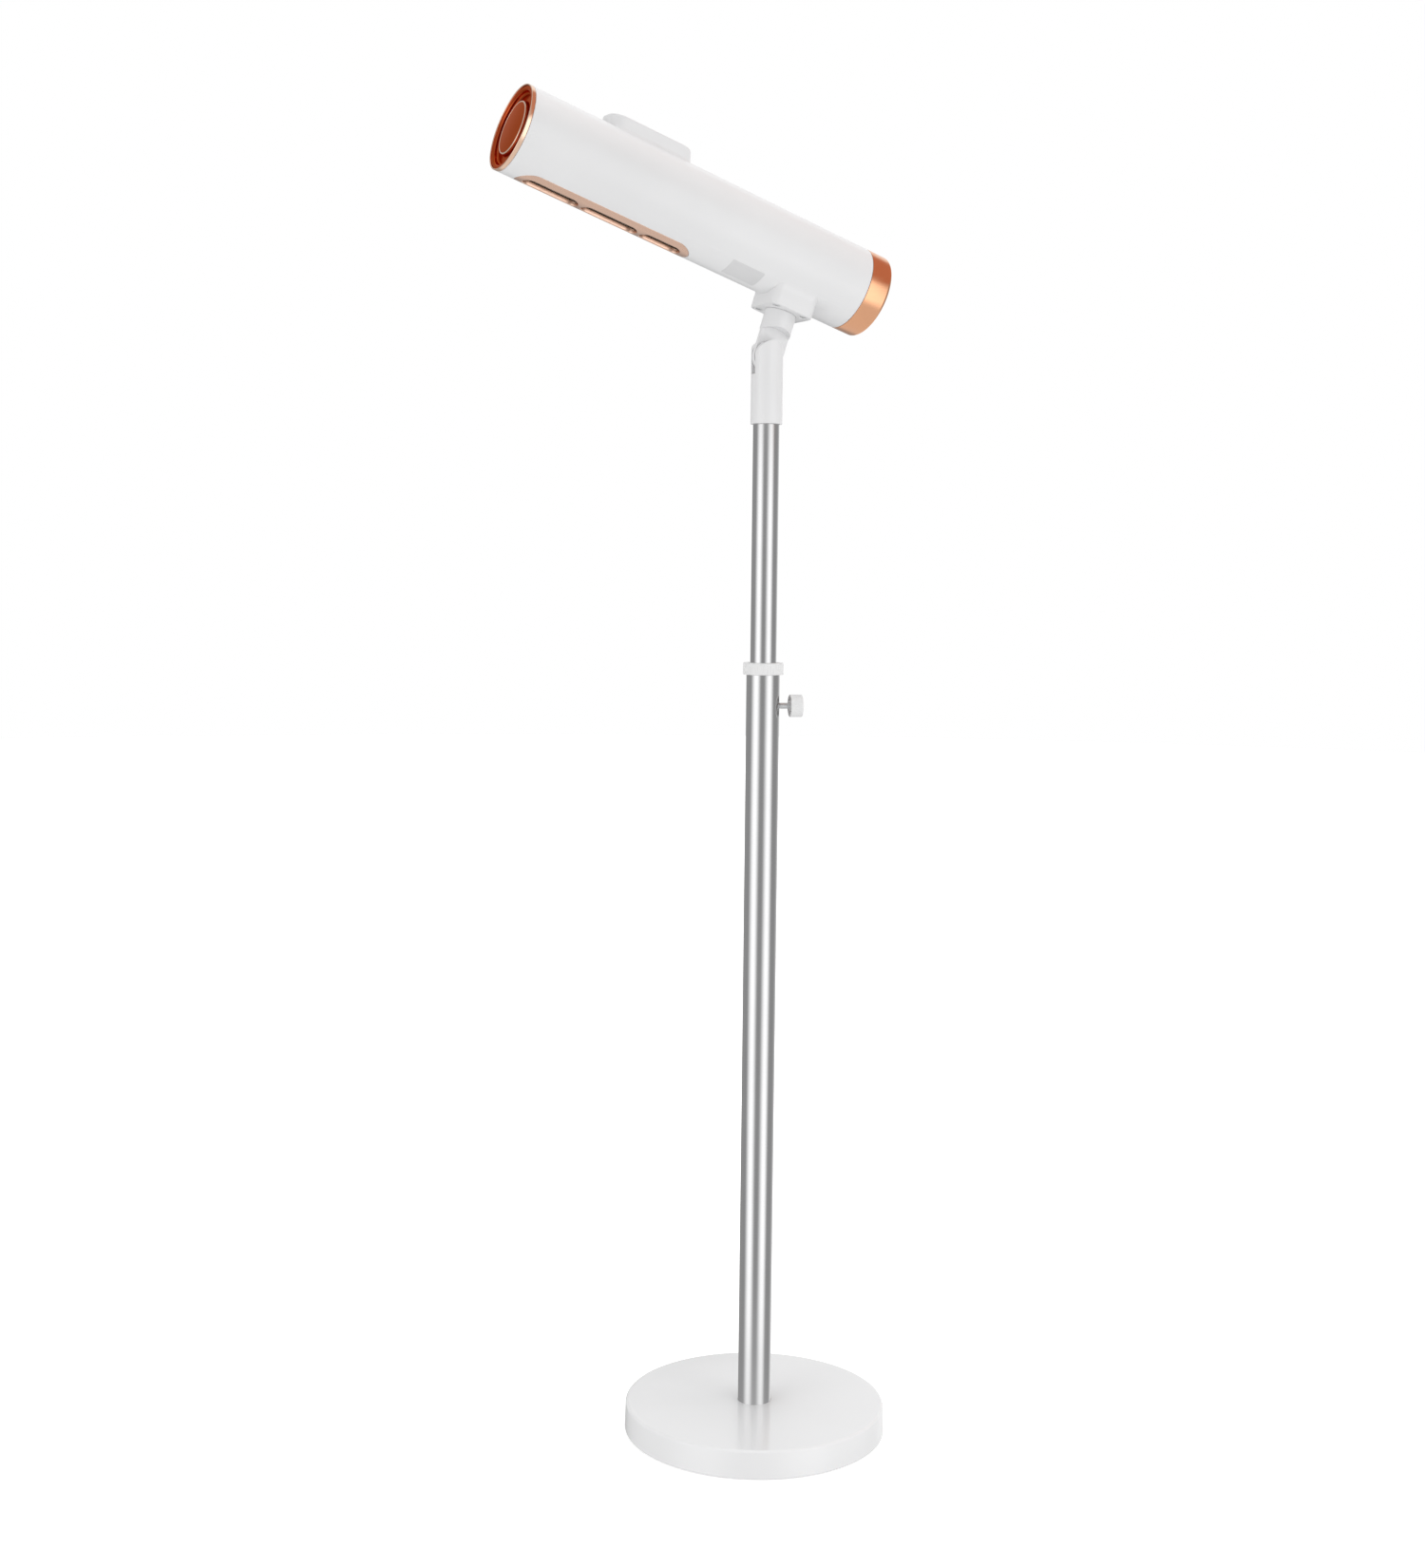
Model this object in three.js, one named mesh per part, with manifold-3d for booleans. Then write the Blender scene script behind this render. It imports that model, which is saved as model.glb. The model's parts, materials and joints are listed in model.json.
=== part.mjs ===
// Pet dryer on a telescopic stand.
//
// Millimetres, +Z up. The origin is on the floor, on the pole's axis. The dryer head's front end
// points along -X and is tilted up; its air outlet faces down. The head hangs from a knuckle joint
// on the upper tube, which slides and turns in the lower tube and is clamped by a lock screw.

import * as THREE from 'three';
import { mergeVertices } from 'three/addons/utils/BufferGeometryUtils.js';
import Module from 'manifold-3d';

const wasm = await Module();
wasm.setup();

// ---------------------------------------------------------------- driving dimensions

const seatGap = 0.3; // left between pieces that seat on, or run in, each other
const overcut = 1; // that a cutting or joining form runs past the face it meets

// Base: iron ballast under a white cover, on a soft pad
const baseRadius = 127.5;
const baseHeight = 28;
const baseDraft = 0.7; // the cover's side leans in by this much
const shoulderRound = 3;
const footRound = 0.8;
const coverWall = 2;
const rimLift = 0.6; // the cover's rim stands clear of the floor
const padThickness = 2;
const ballastInset = 4.5; // from the cover's wall to the ballast
const ballastThickness = 17;
const ballastChamfer = 1.5;
const hubRadius = 40; // raised middle of the ballast, which carries the cover and the pole

// Bolt that pulls the pole down onto the ballast
const poleBoltRadius = 5;
const poleBoltHead = 17; // across flats
const poleBoltHeadHeight = 6.4;
const poleBoltReach = 24; // into the foot plug
const poleWasherRadius = 11;
const poleWasherThickness = 2;
const boltPocketRadius = 12.5;
const boltPocketDepth = 10;
const footPlugHeight = 36;

// Lower tube, with the collar and guide bush on its top end
const lowerTubeRadius = 16;
const lowerTubeWall = 1.2;
const lowerTubeLength = 724.5;
const bushLength = 26;
const bushFlange = 1.2;
const collarRadius = 19.3;
const collarHeight = 11.4;
const collarLip = 2.5;
const collarEase = 1.2; // of its edges
const collarRibs = 24;
const collarRibDepth = 0.5;

// Lock screw
const lockBelowTop = 37; // from the lower tube's top end
const lockAngle = -18; // degrees about the pole, from +X
const lockScrewRadius = 3;
const lockScrewReach = 8; // of the screw inside the knob
const lockNutHeight = 12;
const lockNutWidth = 11;
const lockPadThickness = 1.5;
const knobRadius = 10.75;
const knobThickness = 12;
const knobStandoff = 26; // from the pole's axis to the knob's inner face
const knobHollow = 5;
const knobWall = 1.8;
const knobBossRadius = 5;
const knobInnerEase = 0.4;
const knobOuterEase = 1.6;
const knobRibs = 24;
const knobRibDepth = 0.6;

// Upper tube
const upperTubeRadius = 12.5;
const upperTubeWall = 1.2;
const upperTubeLength = 640;
const mastExtension = 225; // of upper tube showing between the collar and the knuckle
const guideRingHeight = 14;
const guideRingLip = 2;
const guideRingLipWidth = 3;

// Knuckle: a fork on the upper tube, and the head's tongue between its cheeks
const forkRadius = 15;
const sleeveToPivot = 62.3;
const sleeveDepth = 30;
const forkSlotDepth = 16; // below the pivot
const cheekFlatDepth = 0.5; // taken off the cheeks' outer sides
const cheekFlatDrop = 22.7; // below the pivot
const tongueThickness = 4.4;
const frictionWasherThickness = 0.5;
const frictionWasherRadius = 11;
const pivotBoltRadius = 4;
const pivotHeadRadius = 6.6;
const pivotHeadHeight = 3.2;
const pivotSocket = 5; // across flats
const pivotSocketFloor = 1; // of the head left under the socket
const nearCheekLeft = 2.4; // of the near cheek left whole over the bolt's end
const shoulderRadius = 27.7; // of the tongue's shoulders, about the pivot
const grubScrewRadius = 2.2;
const grubScrewHeight = 10; // above the sleeve's lower end
const spigotRadius = 6;
const spigotNut = 18; // across flats
const spigotNutHeight = 6;
const spigotWasherRadius = 10.5;
const spigotWasherThickness = 1.4;
const spigotEnd = 1.2; // of the spigot showing past its nut

// Head
const headTilt = 18.5; // degrees, front end up
const pivotToAxis = 94.2; // from the pivot up to the head's own axis
const headRadius = 39.75;
const headWall = 2.5;
const headFront = 301; // from the bracket's centre to the shell's front end
const headRear = 61; // from the bracket's centre to the shell's rear end
const bezelDepth = 4.2;
const bezelLip = 1.2;
const spigotLength = 8; // of the end pieces inside the shell
const frontSpigotWall = 1.2;
const ringFlange = 1; // the front ring's thickness between the shell's end and the cap
const rearSpigotWall = 2.2;
const dishDepth = 6;
const dishFloor = 2;
const dishBossRadius = 24.7;
const dishBossHeight = 4.6;
const dishBossRound = 2.2;
const dishRimBack = 1.2; // from the bezel's lip to the dish's own rim
const dishWall = 1.2;
const dishRootRound = 1.2;
const rearBandLength = 23.2;
const rearBandRound = 5.5;
const rearLip = 3;
const rearOpening = 32.5; // radius that the rear band leaves open
const grilleThickness = 2.4;
const grilleHub = 8;
const grilleRings = 3;
const grilleSpokes = 6;
const grilleBar = 2.2;
const grilleSlotSteps = 3; // facets along each side of a slot

// Bracket under the head
const bracketLength = 45.5;
const bracketWidth = 49.4;
const bracketDrop = 50.4; // from the head's axis to the bracket's underside
const bracketRound = 7;
const bracketWall = 2.2;
const bracketBlend = 14;
const bracketRoot = 18.6; // from the head's axis, inside the shell's wall
const plateThickness = 2.5;
const plateScrewX = 15;
const plateScrewY = 17;
const plateScrewRadius = 1.5;
const plateScrewHead = 3;
const plateScrewLength = 12;
const screwPointRoom = 1; // of the bore past the screw's end
const screwBossRadius = 3.8;
const wireHoleRadius = 13;
const glandHoleRadius = 3.6;
const glandWall = 1;
const glandFlange = 5.9; // radius
const glandFlangeThickness = 2;
const glandInside = 2.6; // of the gland past the bracket's wall
const glandFlangeEase = 0.8;
const glandRise = 8; // from the bracket's underside to the gland's axis

// Air outlet in the head's underside
const outletFront = 287;
const outletRear = 109;
const outletWidth = 35.4;
const outletDepth = 4.6;
const outletFlange = 2.6;
const outletFlangeThickness = 1.6;
const slotWidth = 17.4;
const slotFrontMargin = 7.5;
const slotLengths = [55, 57, 41.5];
const slotBar = 4.2;
const meshThickness = 0.8;
const meshMargin = 4;

// Control pod on the head's top
const podFront = 223.8;
const podRear = 138.2;
const podWidth = 36;
const podCorner = 14;
const podRearLean = 15.5; // degrees that the pod's rear end leans back
const podRise = 48.5; // from the head's axis
const podEdge = 1.4;
const podBlend = 6;
const podRoot = 26; // from the head's axis, inside the shell's wall
const podWall = 1.5;
const panelLedge = 0.9;
const panelThickness = 2;
const panelRecess = 0.2;
const boardLedge = 1.2;
const boardThickness = 1.4;
const boardDrop = 6.2; // from the pod's top to the board's upper face
const switchSize = 6;
const switchHeight = 0.9;
const podWireRadius = 4;
const buttonRadius = 5;
const buttonPitch = 21;
const buttonCount = 3;
const buttonProud = 0.6;
const buttonTravel = 0.8;
const buttonFlange = 1.1;
const buttonFlangeThickness = 1;
const buttonStem = 1; // that the stem on the switch is narrower than the cap
const buttonRound = 0.8;

// Fan and motor
const fanRadius = 33.5;
const fanHubRadius = 10;
const fanDepth = 12;
const fanBlades = 7;
const fanBladeThickness = 1.2;
const fanHubPitch = 48; // degrees
const fanTipPitch = 26; // degrees
const fanToGrille = 3;
const fanBladeInset = 1; // of the blades from the hub's two faces
const fanCamber = 0.12; // of the blade's chord
const fanHubEase = 3; // of the hub's nose
const fanHubDish = 1; // of the nose, about the shaft
const shaftInHub = 2; // from the shaft's end to the hub's nose
const motorRadius = 16;
const motorLength = 32;
const motorRound = 2;
const shaftRadius = 1.5;
const mountLength = 12;
const mountWall = 2;
const mountSpokes = 3;
const mountSpokeWidth = 3;

// Heater
const ductRoof = 4; // above the head's axis
const ductWall = 1.4;
const heaterDrop = 14; // from the head's axis to the coil's axis
const coilRadius = 14;
const coilWire = 0.8; // radius
const coilTurns = 8;
const coilStepsPerTurn = 12; // a multiple of 4, so that the wire bends at the mica boards
const coilLength = 130;
const micaThickness = 1;
const micaEndThickness = 1.5;
const micaEndHeight = 30;
const micaOverrun = 8; // of the boards past the coil at each end
const terminalLength = 18;
const terminalWidth = 12;
const terminalHeight = 9;
const terminalPlace = 40; // ahead of the bracket's centre
const terminalBores = 3;
const terminalBoreRadius = 1.6;

// Facets round a full turn
const baseFacets = 48;
const headFacets = 36;
const tubeFacets = 24;
const smallFacets = 14;
const screwFacets = 12;
const cornerSteps = 3; // facets of a quarter-round edge or corner

// ---------------------------------------------------------------- derived places

const ballastRadius = baseRadius - coverWall - ballastInset;
const ballastBottom = padThickness + seatGap;
const hubTop = baseHeight - coverWall - seatGap;
const lowerTubeBottom = hubTop + seatGap;
const lowerTubeTop = lowerTubeBottom + lowerTubeLength;
const lowerTubeBore = lowerTubeRadius - lowerTubeWall;
const collarTop = lowerTubeTop + seatGap + bushFlange + seatGap + collarLip;
const lockHeight = lowerTubeTop - lockBelowTop;
const sleeveBottom = collarTop + mastExtension;
const slotHalf = tongueThickness / 2 + frictionWasherThickness + 2 * seatGap;
const cheekFlat = forkRadius - cheekFlatDepth;
const headBore = headRadius - headWall;
const frontLip = headFront + bezelDepth;
const rearEnd = -headRear - rearBandLength;
const grilleRearFace = rearEnd + rearLip + seatGap;
const fanRear = grilleRearFace + grilleThickness + fanToGrille;
const motorRear = fanRear + fanDepth + seatGap;
const spigotRadiusOut = headBore - seatGap; // of every piece that enters the shell's ends
const frontSpigotBore = spigotRadiusOut - frontSpigotWall;
const rearBandBore = spigotRadiusOut - rearSpigotWall;
const grilleRadius = rearBandBore - seatGap;
const plateTop = -bracketDrop + plateThickness;
const outletBore = headRadius - outletDepth;
const outletMiddle = (outletFront + outletRear) / 2;
const outletLength = outletFront - outletRear;
const podMiddle = (podFront + podRear) / 2;
const podLength = podFront - podRear;
const boardTop = podRise - boardDrop;
const panelTop = podRise - panelRecess;
const panelBottom = panelTop - panelThickness;
const ductHalfWidth = outletWidth / 2 + outletFlange + seatGap; // inside, clear of the flange
const ductFront = outletFront + outletFlange + seatGap + ductWall;
const ductRear = outletRear - outletFlange - seatGap;

// ---------------------------------------------------------------- finishes

const finish = (color, roughness, metalness) =>
  new THREE.MeshStandardMaterial({ color, roughness, metalness });

const whiteGloss = finish(0xededec, 0.25, 0);
const whiteSatin = finish(0xe8e8e8, 0.4, 0);
const roseGold = finish(0xdca184, 0.28, 0.9);
const paleRoseGold = finish(0xdcc0b0, 0.3, 0.7);
const burntCopper = finish(0x96482a, 0.15, 0.6);
const polishedSteel = finish(0xc4c6c8, 0.16, 1);
const zincSteel = finish(0xb4b6b8, 0.35, 1);
const castIron = finish(0x4a4a4c, 0.8, 0.6);
const blackRubber = finish(0x1c1c1e, 0.9, 0);
const nylon = finish(0x2b2b2d, 0.55, 0);
const mica = finish(0xbfae8a, 0.6, 0);
const nichrome = finish(0x8a8580, 0.4, 1);
const greenBoard = finish(0x1f5a3a, 0.5, 0);
const brass = finish(0xc0a050, 0.3, 1);

// ---------------------------------------------------------------- geometry helpers

const degrees = (angle) => THREE.MathUtils.degToRad(angle);

// Positions and triangles with shared corners, and none that has no area
function weld(geometry) {
  const bare = new THREE.BufferGeometry();
  bare.setAttribute('position', geometry.getAttribute('position').clone());
  bare.setIndex(geometry.index);
  const merged = mergeVertices(bare, 1e-4);
  const index = merged.index.array;
  const kept = [];
  for (let i = 0; i < index.length; i += 3) {
    const [a, b, c] = [index[i], index[i + 1], index[i + 2]];
    if (a !== b && b !== c && c !== a) kept.push(a, b, c);
  }
  merged.setIndex(kept);
  return merged;
}

function solidOf(geometry) {
  const welded = weld(geometry);
  return new wasm.Manifold(new wasm.Mesh({
    numProp: 3,
    vertProperties: new Float32Array(welded.getAttribute('position').array),
    triVerts: new Uint32Array(welded.index.array),
  }));
}

function geometryOf(solid) {
  const mesh = solid.getMesh();
  const geometry = new THREE.BufferGeometry();
  geometry.setAttribute('position', new THREE.BufferAttribute(mesh.vertProperties, 3));
  geometry.setIndex(new THREE.BufferAttribute(mesh.triVerts, 1));
  return geometry;
}

function join(first, ...others) {
  return geometryOf(others.reduce((sum, other) => sum.add(solidOf(other)), solidOf(first)));
}

function cut(first, ...tools) {
  return geometryOf(tools.reduce((rest, tool) => rest.subtract(solidOf(tool)), solidOf(first)));
}

function common(first, ...others) {
  return geometryOf(others.reduce((rest, other) => rest.intersect(solidOf(other)), solidOf(first)));
}

// Profile of [radius, height] pairs, anticlockwise, turned about the Z axis
function revolve(profile, facets) {
  const points = profile.map(([radius, height]) => new THREE.Vector2(radius, height));
  return new THREE.LatheGeometry(points, facets).rotateX(Math.PI / 2);
}

// The same profile turned about the head's axis: heights run forward, along -X
const revolveForward = (profile, facets) => revolve(profile, facets).rotateY(-Math.PI / 2);

// Quarter-round or other arc of a profile
function arc(centreRadius, centreHeight, radius, from, to, steps = cornerSteps) {
  return Array.from({ length: steps + 1 }, (_, i) => {
    const angle = degrees(from + ((to - from) * i) / steps);
    return [centreRadius + radius * Math.cos(angle), centreHeight + radius * Math.sin(angle)];
  });
}

const closed = (profile) => [...profile, profile[0]];

function rod(radius, bottom, top, facets) {
  return revolve([[0, bottom], [radius, bottom], [radius, top], [0, top]], facets);
}

function ring(inner, outer, bottom, top, facets) {
  return revolve(closed([[inner, bottom], [outer, bottom], [outer, top], [inner, top]]), facets);
}

const alongY = (geometry) => geometry.rotateX(-Math.PI / 2); // +Z turns to +Y
const alongX = (geometry) => geometry.rotateY(Math.PI / 2); // +Z turns to +X
const forward = (geometry) => geometry.rotateY(-Math.PI / 2); // +Z turns to -X

function block(sizeX, sizeY, sizeZ, x, y, z) {
  return new THREE.BoxGeometry(sizeX, sizeY, sizeZ).translate(x, y, z);
}

const shapeOf = (outline) => new THREE.Shape(outline.map(([x, y]) => new THREE.Vector2(x, y)));

function prism(outline, bottom, top) {
  const options = { depth: top - bottom, bevelEnabled: false };
  return new THREE.ExtrudeGeometry(shapeOf(outline), options).translate(0, 0, bottom);
}

// Outlines are lists of [x, y], anticlockwise. A stadium's length is along X.
function stadium(length, width) {
  const reach = (length - width) / 2;
  return [
    ...arc(reach, 0, width / 2, -90, 90, 2 * cornerSteps),
    ...arc(-reach, 0, width / 2, 90, 270, 2 * cornerSteps),
  ];
}

function roundedRectangle(length, width, radius) {
  const x = length / 2 - radius;
  const y = width / 2 - radius;
  return [
    ...arc(x, -y, radius, -90, 0), ...arc(x, y, radius, 0, 90),
    ...arc(-x, y, radius, 90, 180), ...arc(-x, -y, radius, 180, 270),
  ];
}

const circle = (radius, facets) => arc(0, 0, radius, 0, 360 - 360 / facets, facets - 1);
const hexagon = (acrossFlats) => circle(acrossFlats / Math.sqrt(3), 6);

// Outlines of equal length stacked upwards on one axis: [outline, height] pairs
function loft(levels) {
  const rings = levels.map(([outline, height]) =>
    outline.map(([x, y]) => new THREE.Vector3(x, y, height)));
  const count = rings[0].length;
  const index = [];
  for (let level = 0; level + 1 < rings.length; level += 1) {
    for (let i = 0; i < count; i += 1) {
      const [a, b] = [level * count + i, level * count + ((i + 1) % count)];
      index.push(a, b, b + count, a, b + count, a + count);
    }
  }
  const last = (rings.length - 1) * count;
  const [bottomCentre, topCentre] = [rings.length * count, rings.length * count + 1];
  for (let i = 0; i < count; i += 1) {
    const next = (i + 1) % count;
    index.push(bottomCentre, next, i, topCentre, last + i, last + next);
  }
  const centres = [levels[0], levels[levels.length - 1]].map(([, height]) =>
    new THREE.Vector3(0, 0, height));
  const geometry = new THREE.BufferGeometry().setFromPoints([...rings.flat(), ...centres]);
  geometry.setIndex(index);
  return geometry;
}

// Drum with grip ribs, its two edges eased by the given amounts
function ribbedDrum(radius, ribs, depth, bottom, top, bottomEase, topEase) {
  const outline = (ease) => circle(radius - ease, 2 * ribs).map(([x, y], i) => {
    const reach = i % 2 ? 1 - depth / radius : 1;
    return [x * reach, y * reach];
  });
  return loft([
    [outline(bottomEase), bottom],
    [outline(0), bottom + bottomEase],
    [outline(0), top - topEase],
    [outline(topEase), top],
  ]);
}

// Closed sheet of even thickness: place(u, v, side) gives a point on either of its faces
function sheet(place, stepsU, stepsV) {
  const points = [];
  for (const side of [-1, 1]) {
    for (let i = 0; i <= stepsU; i += 1) {
      for (let j = 0; j <= stepsV; j += 1) points.push(place(i / stepsU, j / stepsV, side));
    }
  }
  const half = points.length / 2;
  const at = (i, j) => i * (stepsV + 1) + j;
  const index = [];
  const quad = (a, b, c, d) => index.push(a, b, c, a, c, d);
  for (let i = 0; i < stepsU; i += 1) {
    for (let j = 0; j < stepsV; j += 1) {
      quad(at(i, j), at(i, j + 1), at(i + 1, j + 1), at(i + 1, j));
      quad(half + at(i, j), half + at(i + 1, j), half + at(i + 1, j + 1), half + at(i, j + 1));
    }
  }
  for (let i = 0; i < stepsU; i += 1) {
    quad(at(i, 0), at(i + 1, 0), half + at(i + 1, 0), half + at(i, 0));
    quad(at(i + 1, stepsV), at(i, stepsV), half + at(i, stepsV), half + at(i + 1, stepsV));
  }
  for (let j = 0; j < stepsV; j += 1) {
    quad(at(0, j + 1), at(0, j), half + at(0, j), half + at(0, j + 1));
    quad(at(stepsU, j), at(stepsU, j + 1), half + at(stepsU, j + 1), half + at(stepsU, j));
  }
  const geometry = new THREE.BufferGeometry().setFromPoints(points);
  geometry.setIndex(index);
  return geometry;
}

function piece(name, geometry, material) {
  const welded = weld(geometry);
  welded.computeVertexNormals();
  const mesh = new THREE.Mesh(welded, material);
  mesh.name = name;
  return mesh;
}

// ---------------------------------------------------------------- base

function basePad() {
  return piece('base_pad', rod(ballastRadius, 0, padThickness, tubeFacets), blackRubber);
}

function baseBallast() {
  const top = ballastBottom + ballastThickness;
  const roof = ballastBottom + boltPocketDepth;
  const hole = poleBoltRadius + seatGap;
  const profile = closed([
    [boltPocketRadius, ballastBottom],
    [ballastRadius - ballastChamfer, ballastBottom],
    [ballastRadius, ballastBottom + ballastChamfer],
    [ballastRadius, top - ballastChamfer],
    [ballastRadius - ballastChamfer, top],
    [hubRadius, top],
    [hubRadius, hubTop],
    [hole, hubTop],
    [hole, roof],
    [boltPocketRadius, roof],
  ]);
  return piece('base_ballast', revolve(profile, tubeFacets), castIron);
}

function baseCover() {
  const hole = lowerTubeRadius + seatGap;
  const topRadius = baseRadius - baseDraft;
  const innerRound = shoulderRound - coverWall;
  const profile = closed([
    [baseRadius - coverWall, rimLift],
    ...arc(baseRadius - footRound, rimLift + footRound, footRound, -90, 0, 1),
    ...arc(topRadius - shoulderRound, baseHeight - shoulderRound, shoulderRound, 0, 90),
    [hole, baseHeight],
    [hole, baseHeight - coverWall],
    ...arc(topRadius - shoulderRound, baseHeight - shoulderRound, innerRound, 90, 0, 1),
  ]);
  return piece('base_cover', revolve(profile, baseFacets), whiteGloss);
}

function poleBolt() {
  const headTop = ballastBottom + boltPocketDepth - seatGap - poleWasherThickness - seatGap;
  const head = prism(hexagon(poleBoltHead), headTop - poleBoltHeadHeight, headTop);
  const shank = rod(poleBoltRadius, headTop - overcut, hubTop + poleBoltReach, smallFacets);
  return piece('pole_bolt', join(head, shank), zincSteel);
}

function poleWasher() {
  const top = ballastBottom + boltPocketDepth - seatGap;
  const hole = poleBoltRadius + seatGap;
  const geometry = ring(hole, poleWasherRadius, top - poleWasherThickness, top, smallFacets);
  return piece('pole_washer', geometry, zincSteel);
}

function footPlug() {
  const outer = lowerTubeBore - seatGap;
  const bottom = lowerTubeBottom;
  const hole = poleBoltRadius + seatGap;
  const geometry = ring(hole, outer, bottom, bottom + footPlugHeight, tubeFacets);
  return piece('foot_plug', geometry, zincSteel);
}

// ---------------------------------------------------------------- lower tube and collar

const lockBore = () => alongX(rod(lockScrewRadius + seatGap, 0, lowerTubeRadius + overcut, smallFacets))
  .rotateZ(degrees(lockAngle)).translate(0, 0, lockHeight);

function lowerTube() {
  const tube = ring(lowerTubeBore, lowerTubeRadius, lowerTubeBottom, lowerTubeTop, tubeFacets);
  return piece('lower_tube', cut(tube, lockBore()), polishedSteel);
}

function guideBush() {
  const inner = upperTubeRadius + seatGap;
  const seat = lowerTubeTop + seatGap;
  const profile = closed([
    [inner, seat - bushLength],
    [lowerTubeBore - seatGap, seat - bushLength],
    [lowerTubeBore - seatGap, seat],
    [lowerTubeRadius - seatGap, seat],
    [lowerTubeRadius - seatGap, seat + bushFlange],
    [inner, seat + bushFlange],
  ]);
  return piece('guide_bush', revolve(profile, tubeFacets), nylon);
}

function collar() {
  const bottom = collarTop - collarHeight;
  const lipBottom = collarTop - collarLip;
  const drum = ribbedDrum(collarRadius, collarRibs, collarRibDepth, bottom, collarTop,
    collarEase, collarEase);
  const socket = rod(lowerTubeRadius + seatGap, bottom - overcut, lipBottom, tubeFacets);
  const hole = rod(upperTubeRadius + seatGap, lipBottom - overcut, collarTop + overcut, tubeFacets);
  return piece('collar', cut(drum, socket, hole), whiteSatin);
}

// ---------------------------------------------------------------- lock screw

function lockNut() {
  const half = lockNutHeight / 2;
  const inner = upperTubeRadius + seatGap;
  const wall = ring(inner, lowerTubeBore - seatGap, lockHeight - half, lockHeight + half, tubeFacets);
  const reach = block(lowerTubeRadius, lockNutWidth, lockNutHeight, lowerTubeRadius / 2, 0, lockHeight)
    .rotateZ(degrees(lockAngle));
  return piece('lock_nut', cut(common(wall, reach), lockBore()), zincSteel);
}

// The lock's own pieces lie along +X of a group that is turned to the lock's angle
const lockPadInner = upperTubeRadius + seatGap;
const lockPadOuter = lockPadInner + lockPadThickness;

function lockPad() {
  const radius = lockScrewRadius - seatGap;
  return piece('lock_pad', alongX(rod(radius, lockPadInner, lockPadOuter, smallFacets)), brass);
}

function lockScrew() {
  const end = knobStandoff + knobThickness - lockScrewReach / 2;
  const geometry = rod(lockScrewRadius, lockPadOuter + seatGap, end, smallFacets);
  return piece('lock_screw', alongX(geometry), zincSteel);
}

function lockKnob() {
  const outer = knobStandoff + knobThickness;
  const drum = ribbedDrum(knobRadius, knobRibs, knobRibDepth, knobStandoff, outer,
    knobInnerEase, knobOuterEase);
  const hollowRadius = knobRadius - knobRibDepth - knobWall;
  const floor = knobStandoff + knobHollow;
  const hollow = ring(knobBossRadius, hollowRadius, knobStandoff - overcut, floor, smallFacets);
  const end = outer - lockScrewReach / 2 + seatGap;
  const bore = rod(lockScrewRadius + seatGap, knobStandoff - overcut, end, smallFacets);
  return piece('lock_knob', alongX(cut(drum, hollow, bore)), whiteSatin);
}

function lock() {
  const group = new THREE.Group();
  group.position.z = lockHeight;
  group.rotation.z = degrees(lockAngle);
  group.add(lockPad(), lockScrew(), lockKnob());
  return group;
}

// ---------------------------------------------------------------- upper tube
// Heights are from the lower end of the knuckle's sleeve.

const upperTubeTop = sleeveDepth - seatGap;
const upperTubeBottom = upperTubeTop - upperTubeLength;

function upperTube() {
  const inner = upperTubeRadius - upperTubeWall;
  const geometry = ring(inner, upperTubeRadius, upperTubeBottom, upperTubeTop, tubeFacets);
  return piece('upper_tube', geometry, polishedSteel);
}

function guideRing() {
  const bottom = upperTubeBottom - seatGap - guideRingLip;
  const top = bottom + guideRingHeight;
  const bore = upperTubeRadius + seatGap;
  const outer = lowerTubeBore - seatGap;
  const profile = closed([
    [upperTubeRadius - guideRingLipWidth, bottom],
    [outer, bottom],
    [outer, top],
    [bore, top],
    [bore, bottom + guideRingLip],
    [upperTubeRadius - guideRingLipWidth, bottom + guideRingLip],
  ]);
  return piece('guide_ring', revolve(profile, tubeFacets), nylon);
}

// ---------------------------------------------------------------- knuckle

function knuckleFork() {
  const pivot = sleeveToPivot;
  const body = rod(forkRadius, 0, pivot + forkRadius, tubeFacets);
  const outline = [[-forkRadius, 0], [forkRadius, 0],
    ...arc(0, pivot, forkRadius, 0, 180, tubeFacets / 2)];
  const sideView = prism(outline, -forkRadius, forkRadius).rotateX(Math.PI / 2);
  const slotHeight = forkSlotDepth + forkRadius + overcut;
  const slot = block(2 * (forkRadius + overcut), 2 * slotHalf, slotHeight, 0, 0,
    pivot - forkSlotDepth + slotHeight / 2);
  const bore = rod(upperTubeRadius + seatGap, -overcut, sleeveDepth, tubeFacets);
  const flatHeight = cheekFlatDrop + forkRadius + overcut;
  const flats = [-1, 1].map((side) => block(2 * forkRadius, forkRadius, flatHeight,
    0, side * (cheekFlat + forkRadius / 2), pivot - cheekFlatDrop + flatHeight / 2));
  const boltHole = alongY(rod(pivotBoltRadius + seatGap, nearCheekLeft - cheekFlat, forkRadius,
    smallFacets)).translate(0, 0, pivot);
  const headPocket = alongY(rod(pivotHeadRadius + seatGap, cheekFlat - pivotHeadHeight, forkRadius,
    smallFacets)).translate(0, 0, pivot);
  const grubHole = alongX(rod(grubScrewRadius + seatGap, 0, forkRadius + overcut, smallFacets))
    .translate(0, 0, grubScrewHeight);
  const shaped = common(body, sideView);
  const geometry = cut(shaped, slot, bore, ...flats, boltHole, headPocket, grubHole);
  return piece('knuckle_fork', geometry, whiteSatin);
}

function grubScrew() {
  const geometry = rod(grubScrewRadius, upperTubeRadius + seatGap, forkRadius - seatGap, smallFacets);
  return piece('grub_screw', alongX(geometry).translate(0, 0, grubScrewHeight), zincSteel);
}

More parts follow.
